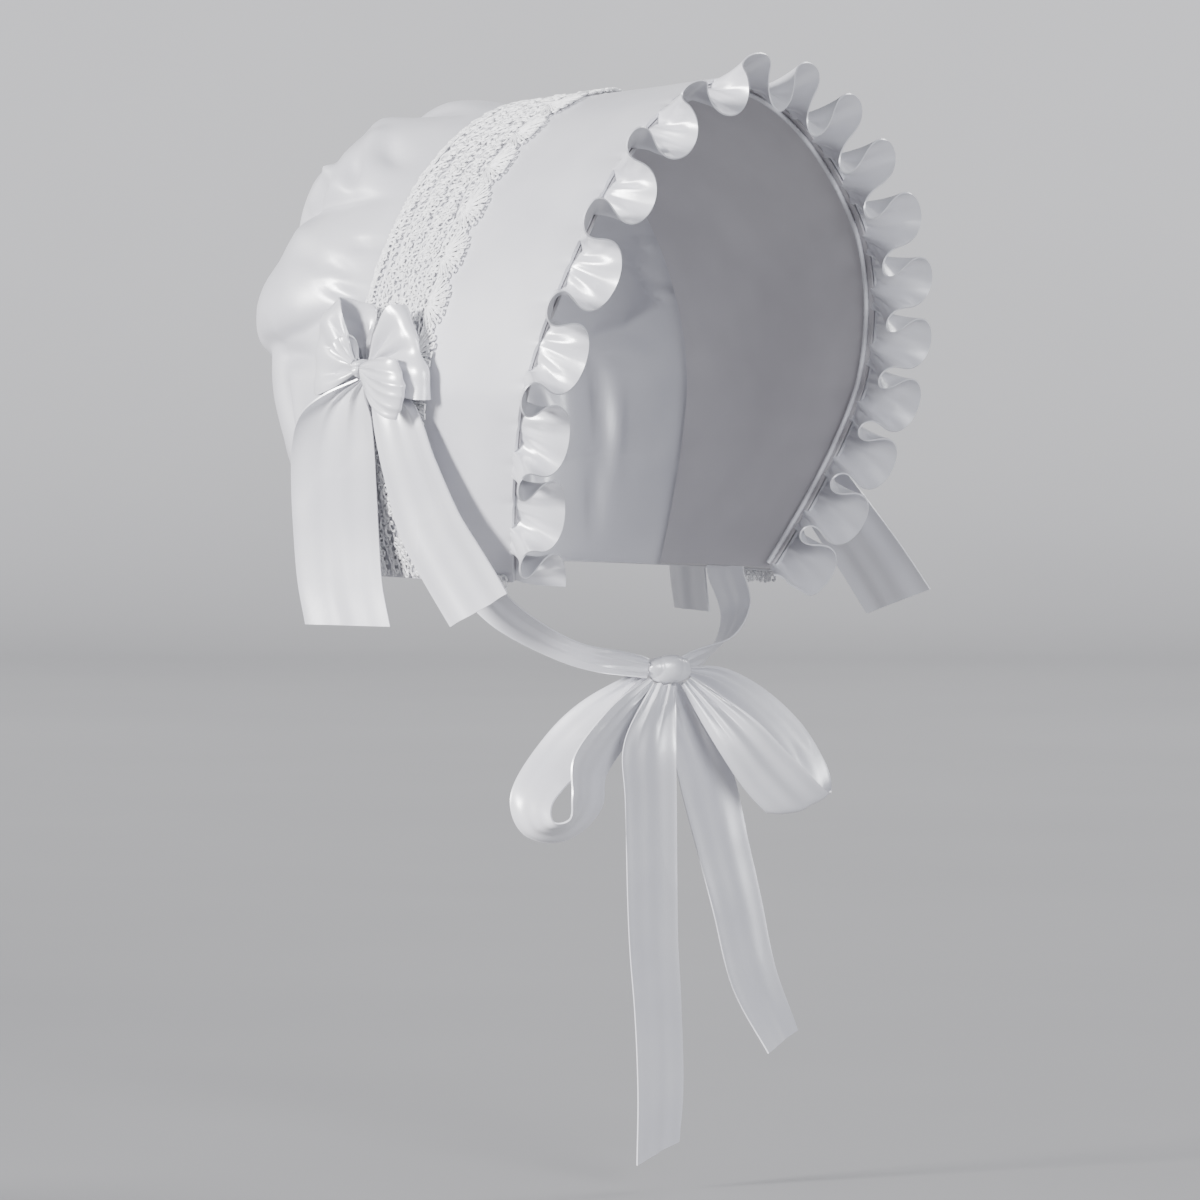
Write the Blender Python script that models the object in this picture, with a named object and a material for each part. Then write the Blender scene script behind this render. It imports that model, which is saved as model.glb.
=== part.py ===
"""A satin poke bonnet, held in the form that it has when it is worn.

Metres, +Z up. The bonnet faces -Y, and -X is the wearer's right. The origin is
the point inside the top of the crown that rests on the top of the head.
"""
import math
from collections import namedtuple

import bmesh
import bpy
import numpy as np

# Front opening
OPENING_HALF_WIDTH = 0.104
OPENING_RISE = 0.1375
OPENING_LEG = 0.084
OPENING_FOOT_SHARE = 0.76
OPENING_FOOT_HALF_WIDTH = OPENING_HALF_WIDTH * OPENING_FOOT_SHARE
EDGE_TOP_ABOVE_ORIGIN = 0.017
FRONT_REACH = 0.145
FOOT_SETBACK = 0.054
SETBACK_STARTS_BELOW_TOP = 0.063
SETBACK_CURVE = 1.35

# Seam of brim and crown
BRIM_DEPTH = 0.133
SEAM_NARROWER = 0.003
SEAM_HALF_WIDTH = OPENING_HALF_WIDTH - SEAM_NARROWER
SEAM_SINK = 0.011
SEAM_FOOT_WIDER = 0.005
SEAM_FOOT_HALF_WIDTH = OPENING_FOOT_HALF_WIDTH + SEAM_FOOT_WIDER

# Curves of both arches
ARCH_POWER = 1.8
LEG_CURVE = 1.5

# Cloth
SHELL_WALL = 0.0020
LINING_WALL = 0.0010
CROWN_WALL = 0.0015
LACE_WALL = 0.0012
RIBBON_WALL = 0.0010
GAP = 0.0003

# Crown
CROWN_DEPTH = 0.108
CROWN_BOXINESS = 3.7
CROWN_TAPER_SHARE = 0.23
TAPER_STARTS_ABOVE_WIDEST = 0.035
NAPE_SHARE = 0.07
PUFF_HEIGHT = 0.011
PUFF_RISE_SHARE = 0.22

# Ruffle and piping
RUFFLE_PITCH = 0.031
RUFFLE_REACH = 0.0200
RUFFLE_FLARE = 0.0020
RUFFLE_BASE_BEND = math.radians(64)
RUFFLE_FREE_BEND = math.radians(98)
RUFFLE_NEAR_SHARE = 0.422
RUFFLE_START_PHASE = -0.30
PIPING_RADIUS = 0.0011
PIPING_BACK = 0.0030

# Lace
LACE_WIDTH = 0.054
LACE_GAP_ROWS = 3
LACE_GAP_COLUMNS = 26
LACE_GAP_SHARE = 0.56
LACE_SCALLOP = 0.0022
LACE_LIFT = 0.0009
HEM_HEIGHT = 0.0080
HEM_BELOW_EDGE = 0.0050
HEM_LENGTH = 0.044
HEM_SCALLOP = 0.0012
HEM_LEAN = 0.0012

# Side bows
SIDE_RIBBON_WIDTH = 0.043
SIDE_BOW_REACH = 0.040
SIDE_TAIL_LENGTH = 0.110
SIDE_BOW_STANDOFF = 0.0092
BOW_ARCH_SHARE = 0.181
BOW_BACK_SHARE = 0.85
SIDE_KNOT_HALF_WIDTH = 0.0024
SIDE_KNOT_HALF_HEIGHT = 0.0040
SIDE_KNOT_FRONT = 0.0062
SIDE_KNOT_BOXINESS = 3.2

# Chin tie
CHIN_RIBBON_WIDTH = 0.0265
CHIN_KNOT_BELOW_FOOT = 0.0405
CHIN_KNOT_BEHIND_FRONT = 0.039
CHIN_BOW_TURN = math.radians(-20)
CHIN_LOOP_REACH = 0.080
CHIN_TAIL_LENGTH = 0.219
CHIN_KNOT_HALF_WIDTH = 0.0102
CHIN_KNOT_HALF_HEIGHT = 0.0063
CHIN_KNOT_HALF_DEPTH = 0.0055
CHIN_KNOT_BOXINESS = 2.3
STRAND_STARTS_BEHIND_FOOT = 0.031

FRONT_Y = -FRONT_REACH
SEAM_Y = FRONT_Y + BRIM_DEPTH
WIDEST_Z = EDGE_TOP_ABOVE_ORIGIN - OPENING_RISE
FOOT_Z = WIDEST_Z - OPENING_LEG
BRIM_WALLS = SHELL_WALL + GAP + LINING_WALL
KNOT_GAP = GAP + RIBBON_WALL / 2

SATIN_COLOUR = (0.90, 0.90, 0.93)
LINING_COLOUR = (0.84, 0.83, 0.85)
LACE_COLOUR = (0.88, 0.88, 0.89)

# One row for each puff between two creases, from the near foot to the ridge.
# Shares: foot and ridge side of the puff along the seam, height of PUFF_HEIGHT.
Puff = namedtuple("Puff", "starts ends height")
NEAR_PUFFS = (
    Puff(0.000, 0.100, 0.30),
    Puff(0.100, 0.224, 0.12),
    Puff(0.224, 0.352, 0.80),
    Puff(0.352, 0.457, 0.95),
)
RIDGE_PUFF = Puff(0.457, 0.543, 0.45)
PUFF_STEPS = (0.0, 0.12, 0.32, 0.60, 0.84)
CROWN_ROWS = 12

# Over the top the ruffle leans forward: share of its outward swing that is lost
# there, by place along the front edge from the near foot.
RuffleLean = namedtuple("RuffleLean", "place lost")
RUFFLE_LEAN = (
    RuffleLean(0.30, 0.00),
    RuffleLean(0.38, 0.20),
    RuffleLean(0.45, 0.62),
    RuffleLean(0.50, 0.50),
    RuffleLean(0.56, 0.22),
    RuffleLean(0.62, 0.00),
)

# A ribbon's sections, as shares of its length and width. side, out and up place
# its middle, turn and tip (degrees) aim its width, and width is its spread.
Section = namedtuple("Section", "side out up turn tip width")

SIDE_LOOP_FRONT = (
    Section(0.090, -0.120, 0.03, 100, 0, 0.10),
    Section(0.350, -0.165, 0.10, 105, 0, 0.60),
    Section(0.680, -0.165, 0.18, 110, 0, 0.95),
    Section(0.820, -0.090, 0.19, 112, 0, 1.03),
    Section(0.700, 0.010, 0.19, 112, 0, 1.00),
    Section(0.370, 0.010, 0.10, 105, 0, 0.60),
    Section(0.095, -0.025, 0.03, 100, 0, 0.10),
)
SIDE_LOOP_BACK = (
    Section(-0.090, -0.120, 0.03, 85, 0, 0.10),
    Section(-0.200, -0.165, 0.22, 66, 0, 0.85),
    Section(-0.480, -0.110, 0.26, 70, 0, 1.00),
    Section(-0.680, 0.010, 0.27, 70, 0, 1.08),
    Section(-0.530, 0.100, 0.25, 72, 0, 1.00),
    Section(-0.300, 0.070, 0.15, 80, 0, 0.60),
    Section(-0.095, -0.010, 0.04, 85, 0, 0.10),
)
SIDE_LOBE_FRONT = (
    Section(0.095, 0.045, -0.03, 95, 0, 0.10),
    Section(0.390, 0.060, -0.14, 92, 0, 0.48),
    Section(0.690, 0.090, -0.22, 88, 0, 0.60),
    Section(0.800, 0.165, -0.24, 88, 0, 0.60),
    Section(0.660, 0.240, -0.22, 88, 0, 0.58),
    Section(0.360, 0.215, -0.14, 90, 0, 0.44),
    Section(0.095, 0.120, -0.03, 95, 0, 0.10),
)
SIDE_LOBE_BACK = (
    Section(-0.085, 0.055, 0.10, 40, 0, 0.09),
    Section(-0.130, 0.095, 0.19, 28, 0, 0.26),
    Section(-0.190, 0.140, 0.28, 25, 0, 0.33),
    Section(-0.200, 0.205, 0.31, 25, 0, 0.32),
    Section(-0.150, 0.200, 0.23, 25, 0, 0.28),
    Section(-0.085, 0.120, 0.11, 40, 0, 0.09),
)
SIDE_TAIL_BACK = (
    Section(-0.030, -0.018, -0.046, 0, -10, 0.09),
    Section(-0.112, -0.010, -0.105, 0, -15, 0.46),
    Section(-0.165, -0.010, -0.190, 0, -18, 0.78),
    Section(-0.205, -0.018, -0.330, 0, -20, 0.95),
    Section(-0.230, -0.036, -0.490, 0, -20, 1.00),
    Section(-0.240, -0.055, -0.675, 0, -20, 1.00),
    Section(-0.230, -0.068, -0.870, 0, -20, 1.00),
    Section(-0.192, -0.077, -1.042, 0, -20, 1.00),
)
SIDE_TAIL_FRONT = (
    Section(0.030, -0.030, -0.050, 0, 0, 0.09),
    Section(0.132, -0.040, -0.145, 4, 0, 0.68),
    Section(0.228, -0.050, -0.390, 11, 4, 0.90),
    Section(0.320, -0.073, -0.610, 16, 2, 0.98),
    Section(0.432, -0.100, -0.780, 18, 0, 1.00),
    Section(0.562, -0.127, -0.952, 23, 0, 0.96),
)
FAR_TAIL_FRONT = (
    Section(0.027, -0.030, -0.046, 0, 0, 0.11),
    Section(0.170, -0.035, -0.140, 2, 0, 0.72),
    Section(0.370, -0.020, -0.345, 5, 0, 0.90),
    Section(0.590, 0.005, -0.590, 9, 0, 0.98),
    Section(0.745, 0.040, -0.780, 13, 0, 1.00),
    Section(0.885, 0.080, -0.975, 17, 0, 0.98),
)

CHIN_LOOP_NEAR = (
    Section(-0.130, -0.030, -0.030, 110, -20, 0.25),
    Section(-0.400, -0.090, -0.280, 125, -40, 0.85),
    Section(-0.600, -0.110, -0.480, 135, -55, 1.00),
    Section(-0.790, -0.060, -0.700, 162, -68, 1.00),
    Section(-0.780, 0.000, -0.860, 233, -74, 1.00),
    Section(-0.640, 0.060, -0.870, 295, -62, 1.00),
    Section(-0.530, 0.075, -0.724, 338, -38, 1.00),
    Section(-0.500, 0.060, -0.520, 335, -32, 1.00),
    Section(-0.330, 0.055, -0.300, 322, -30, 0.85),
    Section(-0.145, 0.020, -0.110, 320, -15, 0.22),
)
CHIN_LOOP_FAR = (
    Section(0.122, -0.012, -0.030, 87, 0, 0.25),
    Section(0.308, -0.055, -0.112, 60, 0, 0.72),
    Section(0.508, -0.070, -0.262, 53, 0, 1.00),
    Section(0.695, -0.058, -0.470, 47, 0, 1.18),
    Section(0.800, -0.035, -0.670, 31, 0, 1.24),
    Section(0.808, 0.005, -0.765, 18, 0, 1.22),
    Section(0.763, 0.050, -0.765, 17, 0, 1.14),
    Section(0.558, 0.085, -0.573, 30, 0, 1.00),
    Section(0.358, 0.085, -0.343, 31, 0, 0.80),
    Section(0.135, 0.020, -0.085, 40, 0, 0.22),
)
CHIN_TAIL_NEAR = (
    Section(-0.018, 0.018, -0.045, -8, 0, 0.42),
    Section(-0.060, 0.045, -0.150, -5, -6, 0.98),
    Section(-0.056, 0.040, -0.270, 0, -10, 1.00),
    Section(-0.045, 0.025, -0.526, 2, -14, 1.00),
    Section(-0.032, 0.018, -0.685, 3, -17, 1.00),
    Section(-0.023, 0.010, -0.842, 6, -18, 1.00),
    Section(-0.027, 0.006, -0.985, 20, -20, 1.00),
)
CHIN_TAIL_FAR = (
    Section(0.016, -0.016, -0.045, 5, 0, 0.42),
    Section(0.096, -0.045, -0.210, 12, -6, 1.00),
    Section(0.137, -0.040, -0.372, 12, -10, 1.00),
    Section(0.163, -0.030, -0.487, 12, -14, 1.00),
    Section(0.196, -0.018, -0.638, 16, -18, 1.00),
    Section(0.254, -0.005, -0.770, 22, -34, 1.00),
)

# The chin strand: across is a share of the foot's inner half-width, forward and
# down are shares of the way from its start to the chin knot.
StrandSection = namedtuple("StrandSection", "across forward down turn tip width")
CHIN_STRAND = (
    StrandSection(1.029, 0.00, -0.20, 60, 88, 0.95),
    StrandSection(0.986, 0.03, 0.02, 62, 84, 0.95),
    StrandSection(0.873, 0.38, 0.44, 66, 74, 0.85),
    StrandSection(0.569, 0.70, 0.80, 74, 62, 0.65),
    StrandSection(0.147, 0.97, 0.985, 85, 5, 0.33),
)


def clear_scene():
    for old in list(bpy.data.objects):
        bpy.data.objects.remove(old, do_unlink=True)


def make_material(name, colour, roughness):
    mat = bpy.data.materials.new(name)
    mat.use_nodes = True
    shader = mat.node_tree.nodes["Principled BSDF"]
    shader.inputs["Base Color"].default_value = (*colour, 1.0)
    shader.inputs["Roughness"].default_value = roughness
    shader.inputs["Metallic"].default_value = 0.0
    return mat


def unit(vectors):
    lengths = np.linalg.norm(vectors, axis=-1, keepdims=True)
    return vectors / np.maximum(lengths, 1e-12)


def resample(points, shares):
    """Points at the given shares of a polyline's length."""
    steps = np.linalg.norm(np.diff(points, axis=0), axis=1)
    length = np.concatenate([[0.0], np.cumsum(steps)])
    wanted = np.asarray(shares) * length[-1]
    return np.stack([np.interp(wanted, length, points[:, k]) for k in range(points.shape[1])], axis=1)


def line_length(points):
    return float(np.linalg.norm(np.diff(points, axis=0), axis=1).sum())


def arch(half_width, rise, foot_half_width, shares):
    """x and z of a horseshoe, from the near foot over the ridge to the far foot."""
    down = np.linspace(1.0, 0.0, 80)[:-1]
    leg_half = half_width - (half_width - foot_half_width) * down ** LEG_CURVE
    leg_z = WIDEST_Z - down * OPENING_LEG
    angle = np.linspace(0.0, math.pi, 241)
    top_x = -np.sign(np.cos(angle)) * half_width * np.abs(np.cos(angle)) ** (2 / ARCH_POWER)
    top_z = WIDEST_Z + rise * np.abs(np.sin(angle)) ** (2 / ARCH_POWER)
    x = np.concatenate([-leg_half, top_x, leg_half[::-1]])
    z = np.concatenate([leg_z, top_z, leg_z[::-1]])
    return resample(np.stack([x, z], axis=1), shares)


def front_edge(shares):
    """The brim's front edge, swept back towards its feet."""
    outline = arch(OPENING_HALF_WIDTH, OPENING_RISE, OPENING_FOOT_HALF_WIDTH, shares)
    starts = EDGE_TOP_ABOVE_ORIGIN - SETBACK_STARTS_BELOW_TOP
    down = np.clip((starts - outline[:, 1]) / (starts - FOOT_Z), 0.0, 1.0)
    y = FRONT_Y + FOOT_SETBACK * down ** SETBACK_CURVE
    return np.stack([outline[:, 0], y, outline[:, 1]], axis=1)


def seam(shares):
    """The back edge of the brim, in one plane across the head."""
    outline = arch(SEAM_HALF_WIDTH, OPENING_RISE - SEAM_SINK, SEAM_FOOT_HALF_WIDTH, shares)
    y = np.full(len(outline), SEAM_Y)
    return np.stack([outline[:, 0], y, outline[:, 1]], axis=1)


def brim_grid(shares, depths):
    """The brim's outer face: shares run along the arch, depths from edge to seam."""
    front = front_edge(shares)
    back = seam(shares)
    depth = np.asarray(depths)[None, :, None]
    return front[:, None, :] * (1 - depth) + back[:, None, :] * depth


def normals(grid):
    """Outward normals of a grid whose columns run along the arch."""
    return unit(np.cross(np.gradient(grid, axis=0), np.gradient(grid, axis=1)))


def moved_out(grid, distance):
    return grid + normals(grid) * distance


def finish(name, bm, mat):
    bm.normal_update()
    bmesh.ops.recalc_face_normals(bm, faces=bm.faces)
    mesh = bpy.data.meshes.new(name)
    bm.to_mesh(mesh)
    bm.free()
    mesh.materials.append(mat)
    mesh.shade_smooth()
    mesh.set_sharp_from_angle(angle=math.radians(50))
    obj = bpy.data.objects.new(name, mesh)
    bpy.context.scene.collection.objects.link(obj)
    return obj


def shell(name, outer, inner, mat):
    """A closed wall between two grids of the same size."""
    columns, rows = outer.shape[:2]
    bm = bmesh.new()
    out = [[bm.verts.new(outer[i, j]) for j in range(rows)] for i in range(columns)]
    inn = [[bm.verts.new(inner[i, j]) for j in range(rows)] for i in range(columns)]
    for i in range(columns - 1):
        for j in range(rows - 1):
            bm.faces.new((out[i][j], out[i + 1][j], out[i + 1][j + 1], out[i][j + 1]))
            bm.faces.new((inn[i][j], inn[i][j + 1], inn[i + 1][j + 1], inn[i + 1][j]))
    for i in range(columns - 1):
        bm.faces.new((out[i][0], inn[i][0], inn[i + 1][0], out[i + 1][0]))
        bm.faces.new((out[i][-1], out[i + 1][-1], inn[i + 1][-1], inn[i][-1]))
    for j in range(rows - 1):
        bm.faces.new((out[0][j], out[0][j + 1], inn[0][j + 1], inn[0][j]))
        bm.faces.new((out[-1][j], inn[-1][j], inn[-1][j + 1], out[-1][j + 1]))
    return finish(name, bm, mat)


def sheet(name, grid, wall, mat):
    """A cloth wall centred on a grid."""
    half = normals(grid) * (wall / 2)
    return shell(name, grid + half, grid - half, mat)


def make_brim(satin, lining_cloth):
    shares = np.linspace(0.0, 1.0, 45)
    depths = np.linspace(0.0, 1.0, 4)
    outer = brim_grid(shares, depths)
    shell("brim_shell", outer, moved_out(outer, -SHELL_WALL), satin)
    lining_top = moved_out(outer, -SHELL_WALL - GAP)
    shell("brim_lining", lining_top, moved_out(outer, -BRIM_WALLS), lining_cloth)


def make_piping(satin):
    """The corded seam just inside the front edge."""
    shares = np.linspace(0.004, 0.996, 61)
    depth = PIPING_BACK / BRIM_DEPTH
    inset = BRIM_WALLS + GAP + PIPING_RADIUS
    path = moved_out(brim_grid(shares, [depth, depth * 2]), -inset)[:, 0]
    tangent = unit(np.gradient(path, axis=0))
    outward = normals(brim_grid(shares, [depth, depth * 2]))[:, 0]
    outward = unit(outward - tangent * (outward * tangent).sum(axis=1, keepdims=True))
    across = np.cross(tangent, outward)
    sides = 6
    bm = bmesh.new()
    rings = []
    for k in range(len(path)):
        ring = []
        for s in range(sides):
            angle = 2 * math.pi * s / sides
            spoke = outward[k] * math.cos(angle) + across[k] * math.sin(angle)
            ring.append(bm.verts.new(path[k] + spoke * PIPING_RADIUS))
        rings.append(ring)
    for first, second in zip(rings, rings[1:]):
        for s in range(sides):
            after = (s + 1) % sides
            bm.faces.new((first[s], first[after], second[after], second[s]))
    bm.faces.new(rings[0])
    bm.faces.new(rings[-1])
    finish("brim_binding", bm, satin)


def meander(bend, waves, steps):
    """Waves of a ribbon on edge, whose heading swings by bend each way."""
    fine = np.linspace(RUFFLE_START_PHASE, RUFFLE_START_PHASE + waves, 720 * waves + 1)
    heading = bend * np.cos(2 * math.pi * fine)
    step = fine[1] - fine[0]
    mid_cos = (np.cos(heading[1:]) + np.cos(heading[:-1])) / 2
    mid_sin = (np.sin(heading[1:]) + np.sin(heading[:-1])) / 2
    along = np.concatenate([[0.0], np.cumsum(mid_cos * step)])
    rise = np.concatenate([[0.0], np.cumsum(mid_sin * step)])
    rise = (rise - (rise.max() + rise.min()) / 2) / along[-1]
    along = along / along[-1]
    wanted = np.linspace(fine[0], fine[-1], waves * steps + 1)
    return np.interp(wanted, fine, along), np.interp(wanted, fine, rise)


def ruffle_grid(steps, bends, reaches):
    """The ruffle's middle face: one row of points for each bend and reach."""
    fine = np.linspace(0.0, 1.0, 401)
    edge = brim_grid(fine, [0.0, 0.02])
    outward = normals(edge)[:, 0]
    tangent = unit(np.gradient(edge[:, 0], axis=0))
    forward = edge[:, 0] - edge[:, 1]
    forward = unit(forward - tangent * (forward * tangent).sum(axis=1, keepdims=True))
    middle = edge[:, 0] - outward * (BRIM_WALLS / 2)
    length = line_length(edge[:, 0])
    waves = round(length / RUFFLE_PITCH)
    rows = []
    lean = np.array(RUFFLE_LEAN)
    for bend, reach in zip(bends, reaches):
        along, rise = meander(bend, waves, steps)
        place = np.interp(along, [0.0, RUFFLE_NEAR_SHARE, 1.0], [0.0, 0.5, 1.0])
        lost = np.interp(place, lean[:, 0], lean[:, 1])
        rise = np.where(rise > 0.0, rise * (1 - lost), rise)
        lift = (rise * length + RUFFLE_FLARE * reach / RUFFLE_REACH)[:, None]
        point = [np.interp(place, fine, middle[:, k]) for k in range(3)]
        out = unit(np.stack([np.interp(place, fine, outward[:, k]) for k in range(3)], axis=1))
        ahead = unit(np.stack([np.interp(place, fine, forward[:, k]) for k in range(3)], axis=1))
        rows.append(np.stack(point, axis=1) + out * lift + ahead * (GAP + reach))
    return np.stack(rows, axis=1)


def make_ruffle(satin):
    reaches = (0.0, RUFFLE_REACH / 2, RUFFLE_REACH)
    middle_bend = (RUFFLE_BASE_BEND + RUFFLE_FREE_BEND) / 2
    bends = (RUFFLE_BASE_BEND, middle_bend, RUFFLE_FREE_BEND)
    sheet("ruffle", ruffle_grid(13, bends, reaches), RIBBON_WALL, satin)


def all_puffs():
    far = [Puff(1 - puff.ends, 1 - puff.starts, puff.height) for puff in reversed(NEAR_PUFFS)]
    return [*NEAR_PUFFS, RIDGE_PUFF, *far]


def puff_swell(puff, step):
    """Height share of a puff at a step from its lower crease: cloth droops low."""
    centre_puff = puff is RIDGE_PUFF
    near = puff.starts < 0.5
    low = step if near else 1 - step
    lean = 1.0 if centre_puff else 0.62
    return puff.height * math.sin(math.pi * low ** lean) ** 0.7 if 0 < low < 1 else 0.0


def crown_columns():
    """Share along the seam and puff height for each column of the crown."""
    shares, heights = [], []
    for puff in all_puffs():
        steps = PUFF_STEPS if puff.starts < 0.5 else [0.0, *[1 - s for s in PUFF_STEPS[:0:-1]]]
        for step in steps:
            shares.append(puff.starts + (puff.ends - puff.starts) * step)
            heights.append(puff_swell(puff, step))
    shares.append(1.0)
    heights.append(0.0)
    return np.array(shares), np.array(heights)


def crown_grid(shares, heights, rows):
    """The crown's outer face: columns run from the seam back and down to the nape."""
    mouth = seam(shares)
    last = math.acos(NAPE_SHARE ** (CROWN_BOXINESS / 2))
    angles = last * np.linspace(0.0, 1.0, rows + 1) ** 1.15
    base = np.zeros((len(shares), len(angles), 3))
    for j, angle in enumerate(angles):
        spread = math.cos(angle) ** (2 / CROWN_BOXINESS)
        depth = math.sin(angle) ** (2 / CROWN_BOXINESS)
        height = FOOT_Z + (mouth[:, 2] - FOOT_Z) * spread
        low = (WIDEST_Z + TAPER_STARTS_ABOVE_WIDEST - height) / OPENING_LEG
        drawn_in = 1 - CROWN_TAPER_SHARE * np.clip(low, 0.0, 1.0) * depth
        base[:, j, 0] = mouth[:, 0] * spread * (1 + drawn_in) / 2
        base[:, j, 1] = SEAM_Y + GAP + CROWN_DEPTH * depth * drawn_in
        base[:, j, 2] = height
    along = np.linspace(0.0, 1.0, len(angles))
    rise = np.sin(np.clip(along / PUFF_RISE_SHARE, 0.0, 1.0) * math.pi / 2)
    fall = np.clip((1 - along) / 0.45, 0.0, 1.0) ** 0.8
    lift = PUFF_HEIGHT * heights[:, None] * (rise * fall)[None, :]
    outer = base + normals(base) * lift[:, :, None]
    outer[0, :, 2] = FOOT_Z
    outer[-1, :, 2] = FOOT_Z
    return outer


def make_crown(satin):
    shares, heights = crown_columns()
    outer = crown_grid(shares, heights, CROWN_ROWS)
    inner = outer - normals(outer) * CROWN_WALL
    inner[:, 0, 1] = SEAM_Y + GAP
    inner[0, :, 2] = FOOT_Z
    inner[-1, :, 2] = FOOT_Z
    shell("crown", outer, inner, satin)


def make_lace_band(lace):
    """Lace over the seam: square gaps cut through a band with toothed edges."""
    columns, rows = LACE_GAP_COLUMNS, LACE_GAP_ROWS
    front_depth = 1 - LACE_WIDTH / BRIM_DEPTH

    def place(column, row):
        scallop = LACE_SCALLOP / BRIM_DEPTH * abs(math.cos(math.pi * column / 2))
        depth = front_depth + (1 - front_depth) * row / rows
        if row == 0:
            depth -= scallop
        return column / columns, depth

    lines = np.linspace(0.0, 1.0, 241)
    depths = np.linspace(front_depth - LACE_SCALLOP / BRIM_DEPTH, 1.0, 9)
    base = brim_grid(lines, depths)
    facing = normals(base)

    def on_brim(column, row, lift):
        share, depth = place(column, row)
        at = share * (len(lines) - 1)
        i = min(int(at), len(lines) - 2)
        slide = (depth - depths[0]) / (depths[-1] - depths[0]) * (len(depths) - 1)
        j = min(int(slide), len(depths) - 2)
        a, b = at - i, slide - j

        def mixed(field):
            low = field[i, j] * (1 - a) + field[i + 1, j] * a
            high = field[i, j + 1] * (1 - a) + field[i + 1, j + 1] * a
            return low * (1 - b) + high * b
        return mixed(base) + mixed(facing) * lift

    margin = (1 - LACE_GAP_SHARE) / 2
    hole = ((margin, margin), (1 - margin, margin), (1 - margin, 1 - margin), (margin, 1 - margin))
    square = ((0, 0), (1, 0), (1, 1), (0, 1))
    bm = bmesh.new()
    layers = []
    for lift in (LACE_LIFT, LACE_LIFT + LACE_WALL):
        corners = [[bm.verts.new(on_brim(c, r, lift)) for r in range(rows + 1)]
                   for c in range(columns + 1)]
        holes = {(c, r): [bm.verts.new(on_brim(c + h[0], r + h[1], lift)) for h in hole]
                 for c in range(columns) for r in range(rows)}
        layers.append((corners, holes))
    for c in range(columns):
        for r in range(rows):
            walls = [layer[1][c, r] for layer in layers]
            for k in range(4):
                after = (k + 1) % 4
                for corners, holes in layers:
                    here, there = square[k], square[after]
                    outer_a = corners[c + here[0]][r + here[1]]
                    outer_b = corners[c + there[0]][r + there[1]]
                    bm.faces.new((outer_a, outer_b, holes[c, r][after], holes[c, r][k]))
                bm.faces.new((walls[0][k], walls[0][after], walls[1][after], walls[1][k]))
    low, high = layers[0][0], layers[1][0]
    for c in range(columns):
        for r in (0, rows):
            bm.faces.new((low[c][r], low[c + 1][r], high[c + 1][r], high[c][r]))
    for r in range(rows):
        for c in (0, columns):
            bm.faces.new((low[c][r], low[c][r + 1], high[c][r + 1], high[c][r]))
    finish("lace_band", bm, lace)


def make_hem(side, mirror, lace):
    """Narrow lace over the brim's bottom edge, from the front corner back."""
    stations = 13
    foot = brim_grid([0.0, 0.004], np.linspace(0.02, 0.02 + HEM_LENGTH / BRIM_DEPTH, stations))
    line = foot[0]
    outward = normals(foot)[0]
    outward[:, 2] = 0.0
    outward = unit(outward)
    lift = LACE_LIFT + LACE_WALL / 2
    grid = np.zeros((2, stations, 3))
    for k in range(stations):
        scallop = HEM_SCALLOP * (k % 2)
        grid[0, k] = line[k] + outward[k] * lift
        grid[0, k, 2] -= HEM_BELOW_EDGE - scallop
        grid[1, k] = line[k] + outward[k] * (lift + HEM_LEAN)
        grid[1, k, 2] += HEM_HEIGHT - HEM_BELOW_EDGE
    grid[:, :, 0] *= mirror
    sheet(f"lace_hem_{side}", grid, LACE_WALL, lace)


def spline(rows, count):
    """Smooth values through a table's rows, at equal steps of length."""
    table = np.array(rows, dtype=float)
    padded = np.vstack([2 * table[0] - table[1], table, 2 * table[-1] - table[-2]])
    fine = []
    for k in range(1, len(padded) - 2):
        a, b, c, d = padded[k - 1:k + 3]
        for t in np.linspace(0.0, 1.0, 24, endpoint=False):
            fine.append(0.5 * (2 * b + (c - a) * t + (2 * a - 5 * b + 4 * c - d) * t ** 2
                               + (3 * b - a - 3 * c + d) * t ** 3))
    fine.append(padded[-2])
    fine = np.array(fine)
    steps = np.linalg.norm(np.diff(fine[:, :3], axis=0), axis=1)
    length = np.concatenate([[0.0], np.cumsum(steps)])
    wanted = np.linspace(0.0, length[-1], count)
    return np.stack([np.interp(wanted, length, fine[:, k]) for k in range(fine.shape[1])], axis=1)


def aimed(turn, tip, axes):
    """Unit vectors at turn in the face and tip towards the viewer, in degrees."""
    side, out, up = axes
    turn, tip = np.radians(turn)[:, None], np.radians(tip)[:, None]
    return np.cos(tip) * (np.cos(turn) * side + np.sin(turn) * up) + np.sin(tip) * out


# A knot's middle (side, out, up), its radii along them, and how boxy it is.
Knot = namedtuple("Knot", "middle radii boxiness")
IN_KNOT_AXES = np.eye(3)


def height_over(knot, points):
    """How far points stand over a knot's face."""
    away = np.abs(points - knot.middle)
    size = (away / knot.radii) ** knot.boxiness
    level = size.sum(axis=1) ** (1 / knot.boxiness)
    slope = (away / knot.radii) ** (knot.boxiness - 1) / knot.radii
    slope = slope / level[:, None] ** (knot.boxiness - 1)
    return (level - 1) / np.linalg.norm(slope, axis=1)


def seating(knot, place, half, slide):
    """The move along slide, which points away, that sets an end a small gap from its knot."""
    samples = place + np.linspace(-1.0, 1.0, 9)[:, None] * half
    near, far = -1.0, 1.0
    for _ in range(40):
        share = (near + far) / 2
        clear = height_over(knot, samples + slide * share).min() > KNOT_GAP
        near, far = (near, share) if clear else (share, far)
    return slide * far


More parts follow.
